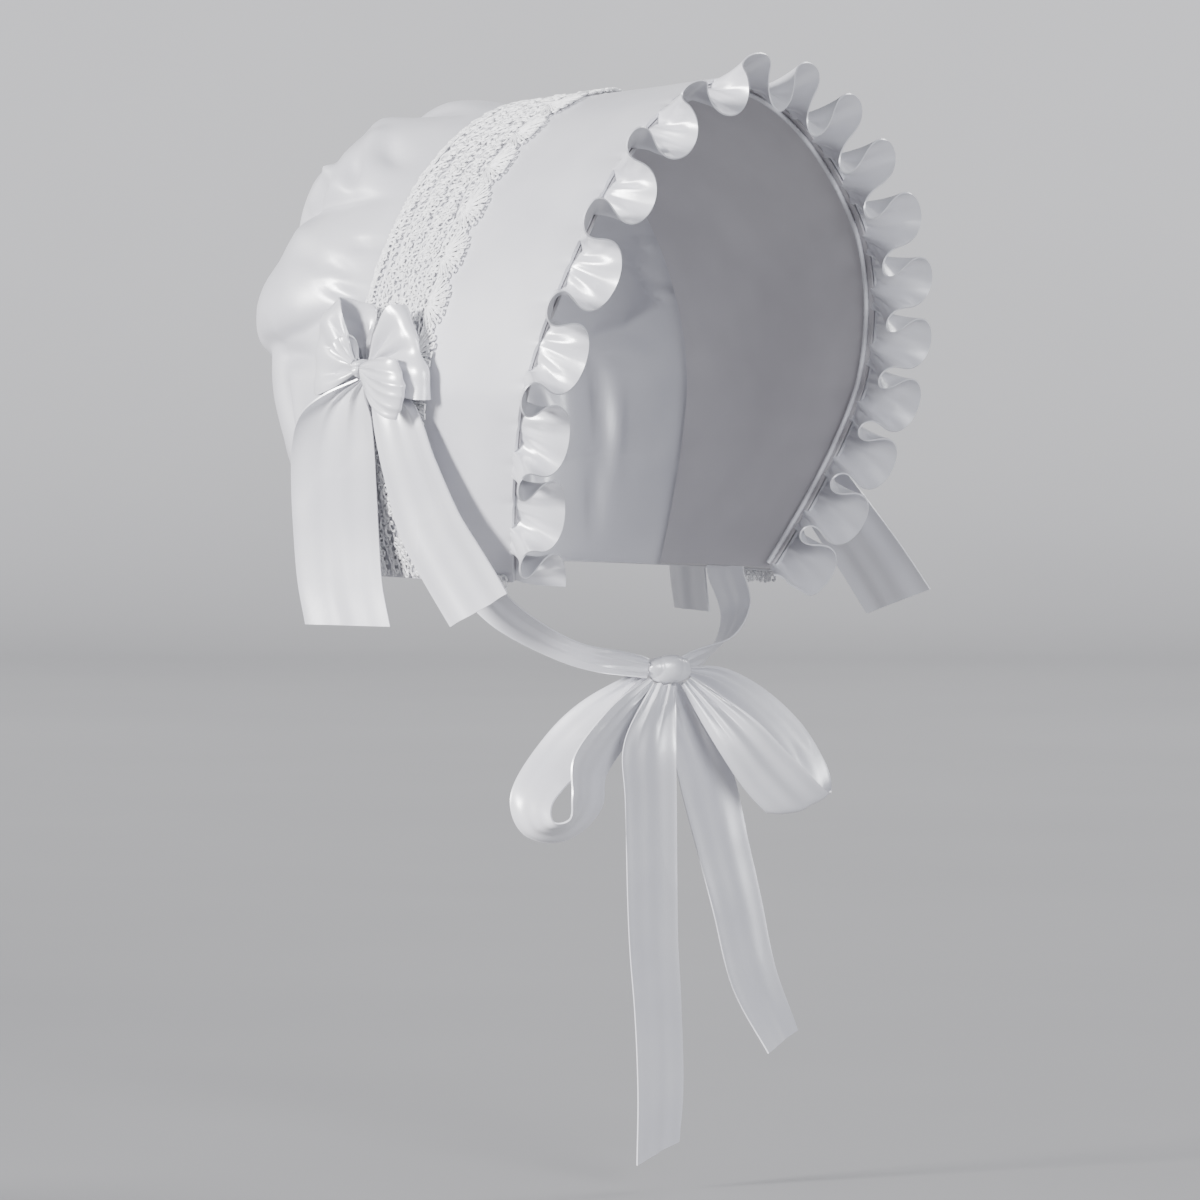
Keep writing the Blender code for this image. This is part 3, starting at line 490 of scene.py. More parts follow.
def chin_knot_and_axes():
    turn = CHIN_BOW_TURN
    axes = np.array([
        [math.cos(turn), math.sin(turn), 0.0],
        [math.sin(turn), -math.cos(turn), 0.0],
        [0.0, 0.0, 1.0],
    ])
    radii = np.array([CHIN_KNOT_HALF_WIDTH, CHIN_KNOT_HALF_DEPTH, CHIN_KNOT_HALF_HEIGHT])
    return Knot(np.zeros(3), radii, CHIN_KNOT_BOXINESS), axes


def chin_strand_line(mirror, stations):
    """From inside the brim's foot down to the chin knot: as ribbon_line."""
    knot, knot_axes = chin_knot_and_axes()
    place = chin_place()
    start_y = FRONT_Y + FOOT_SETBACK + STRAND_STARTS_BEHIND_FOOT
    back = STRAND_STARTS_BEHIND_FOOT / (BRIM_DEPTH - FOOT_SETBACK)
    foot_half = OPENING_FOOT_HALF_WIDTH + (SEAM_FOOT_HALF_WIDTH - OPENING_FOOT_HALF_WIDTH) * back
    inside = foot_half - BRIM_WALLS - GAP - RIBBON_WALL / 2
    rows = []
    for row in CHIN_STRAND:
        x = -row.across * inside * mirror
        y = start_y + (place[1] - start_y) * row.forward
        z = FOOT_Z + (place[2] - FOOT_Z) * row.down
        rows.append([x, y, z, row.turn, row.tip, row.width])
    axes = (np.array([mirror, 0.0, 0.0]), np.array([0.0, -1.0, 0.0]), np.array([0.0, 0.0, 1.0]))
    last = rows[-1]
    half = aimed(last[3:4], last[4:5], axes)[0] * (last[5] * CHIN_RIBBON_WIDTH / 2)
    slide = np.array([-mirror * CHIN_KNOT_HALF_WIDTH, 0.0, 0.0])
    moved = seating(knot, knot_axes @ (last[:3] - place), knot_axes @ half, knot_axes @ slide)
    last[:3] = last[:3] + knot_axes.T @ moved
    values = spline(rows, stations)
    half = aimed(values[:, 3], values[:, 4], axes) * (values[:, 5:6] * CHIN_RIBBON_WIDTH / 2)
    return values[:, :3], half, values[:, 5]


# What only the scene needs
RIBBON_THICK = 0.00050
RIBBON_ACROSS = 41
WRAP_RINGS = 49
WRAP_SIDES = 72
SELVAGE = 0.55
RUFFLE_THICK = 0.00045
RUFFLE_STEPS = 72
INNER_PINCH = 0.90
OUTER_PINCH = 0.84
RUFFLE_HEM = 0.0050
RUFFLE_SKEW = 0.34
RUFFLE_TUCK = 0.0006
CORD_RADIUS = 0.00048
CORD_SIDES = 4
FINE_PER_PUFF = 26
FINE_CROWN_ROWS = 84
CROWN_SAMPLES = 1200
CROWN_THICK = 0.0009
SWELL_SMOOTHINGS = 3
FINE_BRIM = 451
FINE_BRIM_ROWS = 33

rng = np.random.default_rng(20261128)


def new_material(name, values):
    mat = bpy.data.materials.new(name)
    mat.use_nodes = True
    shader = mat.node_tree.nodes["Principled BSDF"]
    for key, value in values.items():
        shader.inputs[key].default_value = value
    return mat, mat.node_tree, shader


def node(tree, kind, **inputs):
    made = tree.nodes.new(kind)
    for key, value in inputs.items():
        made.inputs[key].default_value = value
    return made


def noise(tree, place, scale, detail, roughness):
    made = node(tree, "ShaderNodeTexNoise", Scale=scale, Detail=detail, Roughness=roughness)
    tree.links.new(place, made.inputs["Vector"])
    return made.outputs["Fac"]


def bump(tree, height, strength, distance, under=None):
    made = node(tree, "ShaderNodeBump", Strength=strength, Distance=distance)
    tree.links.new(height, made.inputs["Height"])
    if under:
        tree.links.new(under, made.inputs["Normal"])
    return made.outputs["Normal"]


def coloured(tree, shader, value, *stops):
    """Base colour from two stops of position and colour."""
    ramp = tree.nodes.new("ShaderNodeValToRGB")
    for element, (position, colour) in zip(ramp.color_ramp.elements, stops):
        element.position = position
        element.color = (*colour, 1.0)
    tree.links.new(value, ramp.inputs["Fac"])
    tree.links.new(ramp.outputs["Color"], shader.inputs["Base Color"])


def roughened(tree, shader, value, low, high):
    rough = tree.nodes.new("ShaderNodeMapRange")
    rough.inputs["To Min"].default_value = low
    rough.inputs["To Max"].default_value = high
    tree.links.new(value, rough.inputs["Value"])
    tree.links.new(rough.outputs["Result"], shader.inputs["Roughness"])


def satin_material(name, light, shade, roughness, sheen, soft_folds):
    """Woven satin: long floats across the cloth, slubs, and soft clouding."""
    mat, tree, shader = new_material(name, {
        "IOR": 1.85, "Specular IOR Level": 1.0, "Coat Weight": 0.25, "Coat Roughness": 0.30,
        "Sheen Weight": sheen, "Sheen Roughness": 0.45, "Anisotropic": 0.35,
    })
    where = tree.nodes.new("ShaderNodeTexCoord").outputs
    slub = noise(tree, where["Object"], 900.0, 3.0, 0.6)
    coloured(tree, shader, noise(tree, where["Object"], 26.0, 2.0, 0.5), (0.32, shade), (0.62, light))
    roughened(tree, shader, slub, roughness - 0.06, roughness + 0.08)
    weave = tree.nodes.new("ShaderNodeMath")
    weave.operation = "ADD"
    for k, (way, scale, distortion) in enumerate((("X", 640.0, 1.2), ("Y", 360.0, 2.0))):
        threads = node(tree, "ShaderNodeTexWave", Scale=scale, Distortion=distortion, Detail=1.0)
        threads.wave_type = "BANDS"
        threads.bands_direction = way
        tree.links.new(where["UV"], threads.inputs["Vector"])
        tree.links.new(threads.outputs["Fac"], weave.inputs[k])
    normal = bump(tree, weave.outputs["Value"], 0.10, 0.00005)
    normal = bump(tree, slub, 0.16, 0.00008, normal)
    normal = bump(tree, noise(tree, where["Object"], 58.0, 1.0, 0.4), soft_folds, 0.0022, normal)
    tree.links.new(normal, shader.inputs["Normal"])
    return mat


def lace_material(name):
    """Matt cotton cord, twisted and slightly uneven."""
    mat, tree, shader = new_material(name, {"Sheen Weight": 0.25, "Specular IOR Level": 0.30})
    where = tree.nodes.new("ShaderNodeTexCoord").outputs["Object"]
    tone = noise(tree, where, 420.0, 3.0, 0.6)
    coloured(tree, shader, tone, (0.30, (0.66, 0.66, 0.68)), (0.60, (0.90, 0.90, 0.91)))
    roughened(tree, shader, tone, 0.62, 0.86)
    twist = noise(tree, where, 2600.0, 2.0, 0.5)
    tree.links.new(bump(tree, twist, 0.35, 0.00012), shader.inputs["Normal"])
    return mat


def piece(name, verts, faces, mat, nodes, uv=None, sharp=60):
    """A mesh piece that stands for CAD nodes and rides on the bonnet."""
    mesh = bpy.data.meshes.new(name)
    mesh.from_pydata(np.asarray(verts).tolist(), [], [list(map(int, f)) for f in faces])
    if uv is not None:
        layer = mesh.uv_layers.new(name="cloth")
        index = np.zeros(len(mesh.loops), dtype=np.int32)
        mesh.loops.foreach_get("vertex_index", index)
        layer.data.foreach_set("uv", np.asarray(uv)[index].astype(np.float32).ravel())
    mesh.materials.append(mat)
    mesh.shade_smooth()
    mesh.set_sharp_from_angle(angle=math.radians(sharp))
    obj = bpy.data.objects.new(name, mesh)
    bpy.context.scene.collection.objects.link(obj)
    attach(obj, "root")
    if nodes:
        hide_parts(*nodes)
    return obj


def shell_mesh(outer, inner):
    """Vertices and faces of a closed wall between two grids."""
    columns, rows = outer.shape[:2]
    count = columns * rows
    index = np.arange(count).reshape(columns, rows)
    a, b = index[:-1, :-1].ravel(), index[1:, :-1].ravel()
    c, d = index[1:, 1:].ravel(), index[:-1, 1:].ravel()
    faces = [np.stack([a, b, c, d], axis=1), np.stack([a, d, c, b], axis=1) + count]
    borders = ((index[:, 0], False), (index[:, -1], True), (index[0], True), (index[-1], False))
    for line, turned in borders:
        p, q = line[:-1], line[1:]
        side = np.stack([p, p + count, q + count, q], axis=1)
        faces.append(side[:, ::-1] if turned else side)
    verts = np.concatenate([outer.reshape(-1, 3), inner.reshape(-1, 3)])
    return verts, np.concatenate(faces)


def lengths_along(grid, axis):
    """Length from the grid's first edge, in metres, at each point."""
    steps = np.linalg.norm(np.diff(grid, axis=axis), axis=2)
    zero = np.zeros_like(np.take(steps, [0], axis=axis))
    return np.concatenate([zero, np.cumsum(steps, axis=axis)], axis=axis)


def cloth(name, grid, half_wall, mat, nodes):
    """A thin cloth piece centred on a grid, with weave coordinates in metres."""
    half = normals(grid) * np.broadcast_to(half_wall, grid.shape[:2])[:, :, None]
    verts, faces = shell_mesh(grid + half, grid - half)
    u, v = lengths_along(grid, 0), lengths_along(grid, 1)
    uv = np.stack([u, v], axis=2).reshape(-1, 2)
    return piece(name, verts, faces, mat, nodes, np.concatenate([uv, uv]))


def smooth_noise(shape, cells, seed):
    """Soft noise from 0 to 1 on a grid, with so many cells along each axis."""
    source = np.random.default_rng(seed).random((cells[0] + 3, cells[1] + 3))
    out = source
    for axis in (0, 1):
        at = np.linspace(0, cells[axis], shape[axis], endpoint=False)
        i = at.astype(int)
        t = at - i
        rise = -3 * t ** 3 + 3 * t ** 2 + 3 * t + 1
        w = np.stack([(1 - t) ** 3, 3 * t ** 3 - 6 * t ** 2 + 4, rise, t ** 3]) / 6
        moved = np.moveaxis(out, axis, 0)
        mixed = sum(w[k][:, None] * moved[np.clip(i + k, 0, len(moved) - 1)] for k in range(4))
        out = np.moveaxis(mixed, 0, axis)
    return out


# Brim: cover, lining and piping
def make_brim(satin, lining_satin_painted_shade):
    shares = np.linspace(0.0, 1.0, FINE_BRIM)
    depths = np.linspace(0.0, 1.0, FINE_BRIM_ROWS) ** 1.5
    outer = brim_grid(shares, depths)
    along = lengths_along(outer, 1)
    back = depths[None, :]
    place = np.interp(shares, [0.0, 0.5, 1.0], [0.0, RUFFLE_NEAR_SHARE, 1.0])
    place = place * WAVES + RUFFLE_START_PHASE
    pinch = np.exp(-(np.abs((place * 2) % 1.0 - 0.5) / 0.10) ** 2)[:, None]
    tuck = np.exp(-along / 0.0045) * 0.0007 * pinch
    shape = (FINE_BRIM, FINE_BRIM_ROWS)
    ease = (smooth_noise(shape, (150, 6), 3) - 0.5) * 0.0007 * np.exp(-along / 0.006)
    broad = (smooth_noise(shape, (15, 3), 5) - 0.5) * 0.0016 * np.sin(math.pi * back) ** 0.7
    facing = normals(outer)
    cover = outer + facing * (broad + ease - tuck)[:, :, None]
    inner = outer - facing * (SHELL_WALL - 0.0004)
    verts, faces = shell_mesh(cover, inner)
    uv = np.stack([lengths_along(outer, 0), along], axis=2).reshape(-1, 2)
    uv = np.concatenate([uv, uv])
    made = piece("brim_cover", verts, faces, satin, ["brim_shell"], uv)
    gathers = (smooth_noise(shape, (120, 3), 7) - 0.5) * 0.0014 * np.exp(-along / 0.016)
    slack = (smooth_noise(shape, (17, 2), 9) - 0.35) * 0.0075 * np.sin(math.pi * back) ** 0.6
    top = outer - facing * (SHELL_WALL + GAP)
    low = outer - facing * (BRIM_WALLS + np.clip(slack + gathers, -0.0002, 0.01))[:, :, None]
    verts, faces = shell_mesh(top, low)
    # The lining wears the darker satin, whose tone is painted shade for the inside of the brim.
    made = piece("brim_inside", verts, faces, lining_satin_painted_shade, ["brim_lining"], uv)


def tube_mesh(paths, ups, radii, sides):
    """Round cords along paths; ups point away from the cloth."""
    verts, faces, base = [], [], 0
    angle = 2 * math.pi * np.arange(sides) / sides
    cos, sin = np.cos(angle)[None, :, None], np.sin(angle)[None, :, None]
    for path, up, radius in zip(paths, ups, radii):
        tangent = unit(np.gradient(path, axis=0))
        up = unit(up - tangent * (up * tangent).sum(axis=1, keepdims=True))
        side = np.cross(tangent, up)
        rad = np.broadcast_to(radius, (len(path),))[:, None, None]
        ring = side[:, None, :] * cos + up[:, None, :] * sin
        verts.append((path[:, None, :] + ring * rad).reshape(-1, 3))
        index = base + np.arange(len(path) * sides).reshape(len(path), sides)
        after = np.roll(index, -1, axis=1)
        quads = np.stack([index[:-1], index[1:], after[1:], after[:-1]], axis=2).reshape(-1, 4)
        faces.extend(quads.tolist())
        faces.append(index[0].tolist())
        faces.append(index[-1][::-1].tolist())
        base += len(path) * sides
    return np.concatenate(verts), faces


def make_piping(satin):
    shares = np.linspace(0.004, 0.996, 900)
    depth = PIPING_BACK / BRIM_DEPTH
    grid = brim_grid(shares, [depth, depth * 2])
    outward = normals(grid)[:, 0]
    path = grid[:, 0] - outward * (BRIM_WALLS + GAP + PIPING_RADIUS)
    length = lengths_along(path[:, None, :], 0)[:, 0]
    stitch = 1 - 0.14 * np.exp(-(((length / 0.0032) % 1.0 - 0.5) / 0.12) ** 2)
    verts, faces = tube_mesh([path], [-outward], [PIPING_RADIUS * stitch], 12)
    uv = np.repeat(np.stack([length, np.zeros_like(length)], axis=1), 12, axis=0)
    piece("edge_piping", verts, faces, satin, ["brim_binding"], uv)


# Ruffle: the part's waves, pinched to the brim's edge at each inner bend, with
# creases that fan from the pinch and a hem sewn in between cover and lining.
def ruffle_rows(heights):
    fine = np.linspace(0.0, 1.0, 401)
    edge = brim_grid(fine, [0.0, 0.02])
    outward = normals(edge)[:, 0]
    tangent = unit(np.gradient(edge[:, 0], axis=0))
    forward = edge[:, 0] - edge[:, 1]
    forward = unit(forward - tangent * (forward * tangent).sum(axis=1, keepdims=True))
    length = line_length(edge[:, 0])
    lean = np.array(RUFFLE_LEAN)
    columns = WAVES * RUFFLE_STEPS + 1
    phase = RUFFLE_START_PHASE + np.linspace(0.0, WAVES, columns)
    inner_bend = np.clip(-np.sin(2 * math.pi * phase), 0.0, 1.0)
    outer_bend = np.clip(np.sin(2 * math.pi * phase), 0.0, 1.0)
    rows = []
    for height in heights:
        up = max(height, 0.0)
        bend = RUFFLE_BASE_BEND + (RUFFLE_FREE_BEND - RUFFLE_BASE_BEND) * up
        along, rise = meander(bend, WAVES, RUFFLE_STEPS)
        place = np.interp(along, [0.0, RUFFLE_NEAR_SHARE, 1.0], [0.0, 0.5, 1.0])
        lost = np.interp(place, lean[:, 0], lean[:, 1])
        rise = np.where(rise > 0.0, rise * (1 - lost), rise) * length
        open_share = 1 - (inner_bend * INNER_PINCH + outer_bend * OUTER_PINCH) * (1 - up) ** 1.3
        rise = rise * open_share
        reach = -RUFFLE_TUCK + (RUFFLE_TUCK + GAP + RUFFLE_REACH) * up
        if height < 0.0:
            rise = rise * 0.0
            reach = -RUFFLE_TUCK + (RUFFLE_HEM - RUFFLE_TUCK) * height
        point = between(place, fine, edge[:, 0])
        out = unit(between(place, fine, outward))
        ahead = unit(between(place, fine, forward))
        lift = rise - BRIM_WALLS / 2 + RUFFLE_FLARE * up
        rows.append(point + out * lift[:, None] + ahead * reach)
    return np.stack(rows, axis=1), phase


def make_ruffle(satin):
    heights = np.array([-1.0, -0.4, 0.0, 0.04, 0.09, 0.16, 0.25, 0.36, 0.48, 0.61, 0.74, 0.87, 1.0])
    grid, phase = ruffle_rows(heights)
    steps, rows = grid.shape[:2]
    height = np.clip(heights, 0.0, 1.0)[None, :]
    fan = np.zeros((steps, rows))
    for shift, size in ((-0.10, 0.5), (-0.05, -0.9), (0.0, 0.9), (0.05, -1.0), (0.10, 0.6)):
        away = (phase - 0.75 - shift * (1 + height.T) + 0.5) % 1.0 - 0.5
        fan += size * np.exp(-(away.T / (0.012 + 0.022 * height)) ** 2)
    for shift, size in ((-0.02, 0.7), (0.02, -0.5)):
        away = (phase - 0.25 - shift + 0.5) % 1.0 - 0.5
        fan += size * np.exp(-(away[:, None] / (0.02 + 0.03 * height)) ** 2)
    fan *= 0.0026 * (1 - height) ** 0.7 * (0.12 + height)
    at_seam = (heights >= 0.0) & (heights <= 0.1)
    gather = 0.00030 * np.sin(2 * math.pi * 9 * phase)[:, None] * at_seam[None, :]
    soft = (smooth_noise((steps, rows), (WAVES * 3, 2), 11) - 0.5) * 0.0016 * height
    grid = grid + normals(grid) * (fan + gather + soft)[:, :, None]
    selvage = 1 + SELVAGE * np.exp(-((1 - height) / 0.06) ** 2)
    half = RUFFLE_THICK / 2 * selvage * np.ones((steps, 1))
    made = cloth("ruffle_ribbon", grid, half, satin, ["ruffle"])


# Crown. The two long creases of each side wander as they run back from the lace.
# Columns: share of the way back, and the lower and upper crease's place.
CREASES = (
    (0.00, 0.233, 0.340),
    (0.06, 0.228, 0.338),
    (0.15, 0.216, 0.336),
    (0.28, 0.212, 0.341),
    (0.42, 0.220, 0.352),
    (0.65, 0.226, 0.356),
    (1.00, 0.224, 0.352),
)

# Soft dents (below zero) and ridges of each side of the crown: place along the
# seam and from seam to nape as shares; length and width in millimetres; turn in
# degrees up from the way back; height in millimetres.
DENTS = (
    (0.386, 0.085, 9.0, 3.6, 54, -2.8),
    (0.362, 0.150, 7.0, 3.0, 75, -2.4),
    (0.400, 0.150, 8.0, 3.5, 60, 1.6),
    (0.351, 0.300, 8.5, 2.8, -20, -3.0),
    (0.366, 0.255, 7.0, 2.4, 50, 1.6),
    (0.385, 0.300, 9.0, 3.0, 40, -1.5),
    (0.277, 0.170, 14.0, 4.4, 45, -2.8),
    (0.262, 0.120, 12.0, 3.2, 45, 1.6),
    (0.300, 0.250, 16.0, 5.0, 50, 1.6),
    (0.246, 0.040, 7.0, 2.4, 35, -2.0),
    (0.290, 0.020, 4.0, 1.8, 25, -1.4),
    (0.268, 0.060, 5.0, 1.8, 40, -1.4),
    (0.195, 0.210, 14.0, 4.5, 12, -2.2),
    (0.150, 0.260, 22.0, 5.0, 80, -1.8),
    (0.120, 0.180, 20.0, 4.0, 84, 1.4),
    (0.060, 0.240, 18.0, 5.0, 80, -1.5),
    (0.470, 0.200, 16.0, 5.0, 10, -1.8),
    (0.430, 0.420, 16.0, 5.0, 50, -2.2),
    (0.436, 0.250, 9.0, 7.0, 20, 2.4),
    (0.398, 0.335, 9.0, 5.5, 30, -1.8),
    (0.310, 0.520, 18.0, 6.0, 30, -2.4),
    (0.250, 0.600, 18.0, 5.0, 60, -2.2),
    (0.170, 0.520, 20.0, 6.0, 70, -2.2),
    (0.100, 0.600, 20.0, 6.0, 80, -2.0),
)
DENT_DEPTH = 1.9
ALONG_LENGTH = 0.490
BACK_LENGTH = 0.120


def crown_relief(along, back):
    out = np.zeros_like(along)
    for at_along, at_back, long, wide, degrees, height in DENTS:
        for mirror in (False, True):
            place = 1 - along if mirror else along
            x = (back - at_back) * BACK_LENGTH * 1000
            y = (place - at_along) * ALONG_LENGTH * 1000
            turn = math.radians(degrees)
            length = x * math.cos(turn) + y * math.sin(turn)
            side = -x * math.sin(turn) + y * math.cos(turn)
            shape = np.exp(-(length / long) ** 2 - (side / wide) ** 2)
            out += DENT_DEPTH * height / 1000 * shape
    pleats = smooth_noise(along.shape, (70, 2), 17) - 0.5
    out += pleats * 0.0022 * np.exp(-back / 0.12)
    folds = smooth_noise(along.shape, (44, 3), 19) - 0.5
    out += folds * 0.0050 * np.clip((back - 0.45) / 0.4, 0, 1)
    broad = smooth_noise(along.shape, (30, 5), 23) - 0.5
    return out + broad * 0.0022


def make_crown(satin):
    fine = np.linspace(0.0, 1.0, CROWN_SAMPLES + 1)
    base = crown_grid(fine, FINE_CROWN_ROWS)
    facing = normals(base)
    rows = base.shape[1]
    back = np.linspace(0.0, 1.0, rows)
    table = np.array(CREASES)
    lower = np.interp(back, table[:, 0], table[:, 1])
    upper = np.interp(back, table[:, 0], table[:, 2])
    near = [0 * back, 0 * back + NEAR_PUFFS[0].ends, lower, upper, 0 * back + RIDGE_PUFF.starts]
    borders = near + [1 - line for line in near[::-1]]
    along, swell = [], []
    for puff, first, last in zip(all_puffs(), borders, borders[1:]):
        for k in range(FINE_PER_PUFF):
            step = k / FINE_PER_PUFF
            eased = step - 0.5 * math.sin(2 * math.pi * step) / (2 * math.pi)
            along.append(first + (last - first) * eased)
            swell.append(puff_swell(puff, eased))
    along = np.array([*along, np.ones(rows)])
    swell = np.array([*swell, 0.0])
    for _ in range(SWELL_SMOOTHINGS):
        swell[1:-1] = (swell[:-2] + 2 * swell[1:-1] + swell[2:]) / 4
    swell = swell[:, None]
    place = np.clip(along, 0, 0.99999) * CROWN_SAMPLES
    low = place.astype(int)
    part = (place - low)[:, :, None]
    row = np.arange(rows)[None, :]
    spot = base[low, row] * (1 - part) + base[low + 1, row] * part
    out = unit(facing[low, row] * (1 - part) + facing[low + 1, row] * part)
    rise = np.sin(np.clip(back / PUFF_RISE_SHARE, 0.0, 1.0) * math.pi / 2)
    fall = np.clip((1 - back) / 0.45, 0.0, 1.0) ** 0.8
    hold = np.clip(back / 0.02, 0, 1)
    relief = crown_relief(along, back[None, :] + 0 * along)
    lift = PUFF_HEIGHT * swell * (rise * fall)[None, :] + relief * hold
    outer = spot + out * lift[:, :, None]
    outer[0, :, 2] = FOOT_Z
    outer[-1, :, 2] = FOOT_Z
    inner = outer - normals(outer) * CROWN_THICK
    verts, faces = shell_mesh(outer, inner)
    uv = np.stack([lengths_along(outer, 0), lengths_along(outer, 1)], axis=2).reshape(-1, 2)
    uv = np.concatenate([uv, uv])
    made = piece("crown_cloth", verts, faces, satin, ["crown"], uv)


# Lace: cords are drawn flat, in millimetres along the seam (u) and from the front
# edge of the band to the seam (v), then laid on the brim.
LACE_LENGTH = 560.0
LACE_ACROSS = LACE_WIDTH * 1000
LACE_CORD_ROWS = 13
LACE_FAN_PITCH = 24.0
LACE_FAN_SPOKES = 9
LACE_STEP = 0.95


def scallop(u):
    """How far the band's front edge lies from its straight line, in millimetres."""
    return 4.2 - 6.6 * np.cos(math.pi * (u / LACE_FAN_PITCH - 0.5)) ** 2


def lace_rows():
    """Rows of looping cord that fill the band."""
    cords = []
    for k in range(LACE_CORD_ROWS):
        v = 8.5 + (LACE_ACROSS - 10.0) * k / (LACE_CORD_ROWS - 1)
        pitch = 3.9 + 0.5 * rng.random()
        count = int(LACE_LENGTH / pitch)
        t = np.arange(0.0, count, 0.085)
        turn = 2 * math.pi * t + 2.1 * k
        size = 1.95 * (1 + 0.22 * np.sin(t * 0.73 + k) + 0.15 * np.sin(t * 1.9 + 2 * k))
        sway = 1.7 * np.sin(t * 0.23 + 1.7 * k) + 0.8 * np.sin(t * 1.13 + k)
        u = (t + 0.5 * rng.random()) * LACE_LENGTH / count + size * np.sin(turn)
        w = np.maximum(v + size * np.cos(turn) + sway, scallop(u) + 2.0)
        lift = 0.75 + 0.35 * np.sin(turn * 0.5 + k) + 0.12 * np.sin(t * 2.7)
        cords.append(np.stack([u, w, lift], axis=1))
    return cords


def lace_fans():
    """Fans of spokes that end in small loops, along the front edge of the band."""
    cords = []
    for k in range(int(LACE_LENGTH / LACE_FAN_PITCH)):
        centre = (k + 0.5) * LACE_FAN_PITCH + 1.5 * (rng.random() - 0.5)
        for spoke in range(LACE_FAN_SPOKES):
            angle = math.radians(-72 + 18 * spoke)
            reach = 11.0 + 1.2 * math.cos(angle) + 0.6 * rng.random()
            away = np.array([math.sin(angle), -math.cos(angle)])
            beside = np.array([away[1], -away[0]])
            stem = np.linspace(2.0, reach, 11)[:, None]
            wide = 0.75 * np.linspace(0.25, 1.0, 11)[:, None]
            turn = np.linspace(-0.5 * math.pi, 0.5 * math.pi, 8)[:, None] * 1.25
            head = reach + 1.25 + 1.25 * np.cos(turn)
            flat = np.concatenate([
                stem * away + wide * beside,
                (head * away) - 1.25 * np.sin(turn) * beside,
                stem[::-1] * away - wide[::-1] * beside,
            ])
            u = centre + flat[:, 0]
            w = 8.8 + flat[:, 1]
            lift = 1.35 + 0.2 * np.sin(np.linspace(0, 9, len(flat)) + spoke)
            cords.append(np.stack([u, w, lift], axis=1))
    return cords


def lace_rosettes():
    """Small flowers of looped cord between the rows."""
    cords = []
    for row, (v, pitch) in enumerate(((17.0, 21.0), (31.0, 19.0))):
        for k in range(int(LACE_LENGTH / pitch)):
            u = (k + 0.5 + 0.35 * row) * pitch + 2.0 * (rng.random() - 0.5)
            turn = np.linspace(0.0, 2 * math.pi, 97)
            petals = 3.4 + 1.5 * np.cos(6 * turn + k)
            way = v + 2.0 * (rng.random() - 0.5)
            heart = 1.1 + 0 * turn
            for radius, lift in ((petals, 1.55 + 0.15 * np.cos(6 * turn)), (heart, 1.7 + 0 * turn)):
                x, y = u + radius * np.cos(turn), way + radius * np.sin(turn)
                cords.append(np.stack([x, y, lift], axis=1))
    return cords


def lace_edges():
    """Small picot loops along both edges, and a plain cord under them."""
    cords = []
    for v, way, size, pitch in ((0.6, -1.0, 1.35, 3.3), (LACE_ACROSS - 1.2, 1.0, 0.75, 2.6)):
        count = int(LACE_LENGTH / pitch)
        t = np.arange(0.0, count, 0.1)
        turn = 2 * math.pi * t
        u = t * LACE_LENGTH / count + size * 1.15 * np.sin(turn)
        front = way < 0
        wave = scallop(u) if front else 0.0
        w = v + wave + way * size * (0.5 - np.cos(turn)) * (1 + 0.25 * np.sin(t * 0.9))
        cords.append(np.stack([u, w, 0.7 + 0.1 * np.cos(turn)], axis=1))
        line = np.arange(0.0, LACE_LENGTH, 1.2)
        wave = scallop(line) if front else 0.0
        w = v + wave - way * 1.4 + 0.3 * np.sin(line)
        cords.append(np.stack([line, w, 0.9 + 0 * line], axis=1))
    return cords


def evened(cord, step):
    """The cord at steps of about so many millimetres, inside the band."""
    length = running_length(cord[:, :2])
    count = max(int(length[-1] / step), 4)
    return between(np.linspace(0.0, length[-1], count), length, cord)


def make_lace_band(lace):
    front_depth = 1 - LACE_WIDTH / BRIM_DEPTH
    lines = np.linspace(0.0, 1.0, 561)
    depths = np.linspace(front_depth - 0.035, 1.0, 15)
    base = brim_grid(lines, depths)
    facing = normals(base)

    def laid(cord):
        share = np.clip(cord[:, 0] / LACE_LENGTH, 0.001, 0.999) * (len(lines) - 1)
        depth = front_depth + (1 - front_depth) * cord[:, 1] / LACE_ACROSS
        slide = np.clip((depth - depths[0]) / (depths[-1] - depths[0]), 0.0, 0.999)
        slide = slide * (len(depths) - 1)
        i, j = share.astype(int), slide.astype(int)
        a, b = (share - i)[:, None], (slide - j)[:, None]
        out = []
        for field in (base, facing):
            low = field[i, j] * (1 - a) + field[i + 1, j] * a
            high = field[i, j + 1] * (1 - a) + field[i + 1, j + 1] * a
            out.append(low * (1 - b) + high * b)
        up = unit(out[1])
        return out[0] + up * (LACE_LIFT - 0.0004 + cord[:, 2:3] / 1000), up

    halves = ([], [])
    for cord in [*lace_rows(), *lace_fans(), *lace_rosettes(), *lace_edges()]:
        cord = evened(cord, LACE_STEP)
        inside = (cord[:, 0] > 1.0) & (cord[:, 0] < LACE_LENGTH - 1.0)
        near = inside & (cord[:, 0] < LACE_LENGTH / 2 + 0.5)
        far = inside & (cord[:, 0] >= LACE_LENGTH / 2 - 0.5)
        for k, part in enumerate((near, far)):
            runs = np.split(np.arange(len(cord)), np.flatnonzero(~part))
            for run in runs:
                run = run[part[run]]
                if len(run) > 3:
                    halves[k].append(cord[run])
    for name, cords in zip(("lace_over_seam_near", "lace_over_seam_far"), halves):
        paths, ups = zip(*[laid(cord) for cord in cords])
        verts, faces = tube_mesh(paths, ups, [CORD_RADIUS] * len(paths), CORD_SIDES)
        piece(name, verts, faces, lace, ["lace_band"])


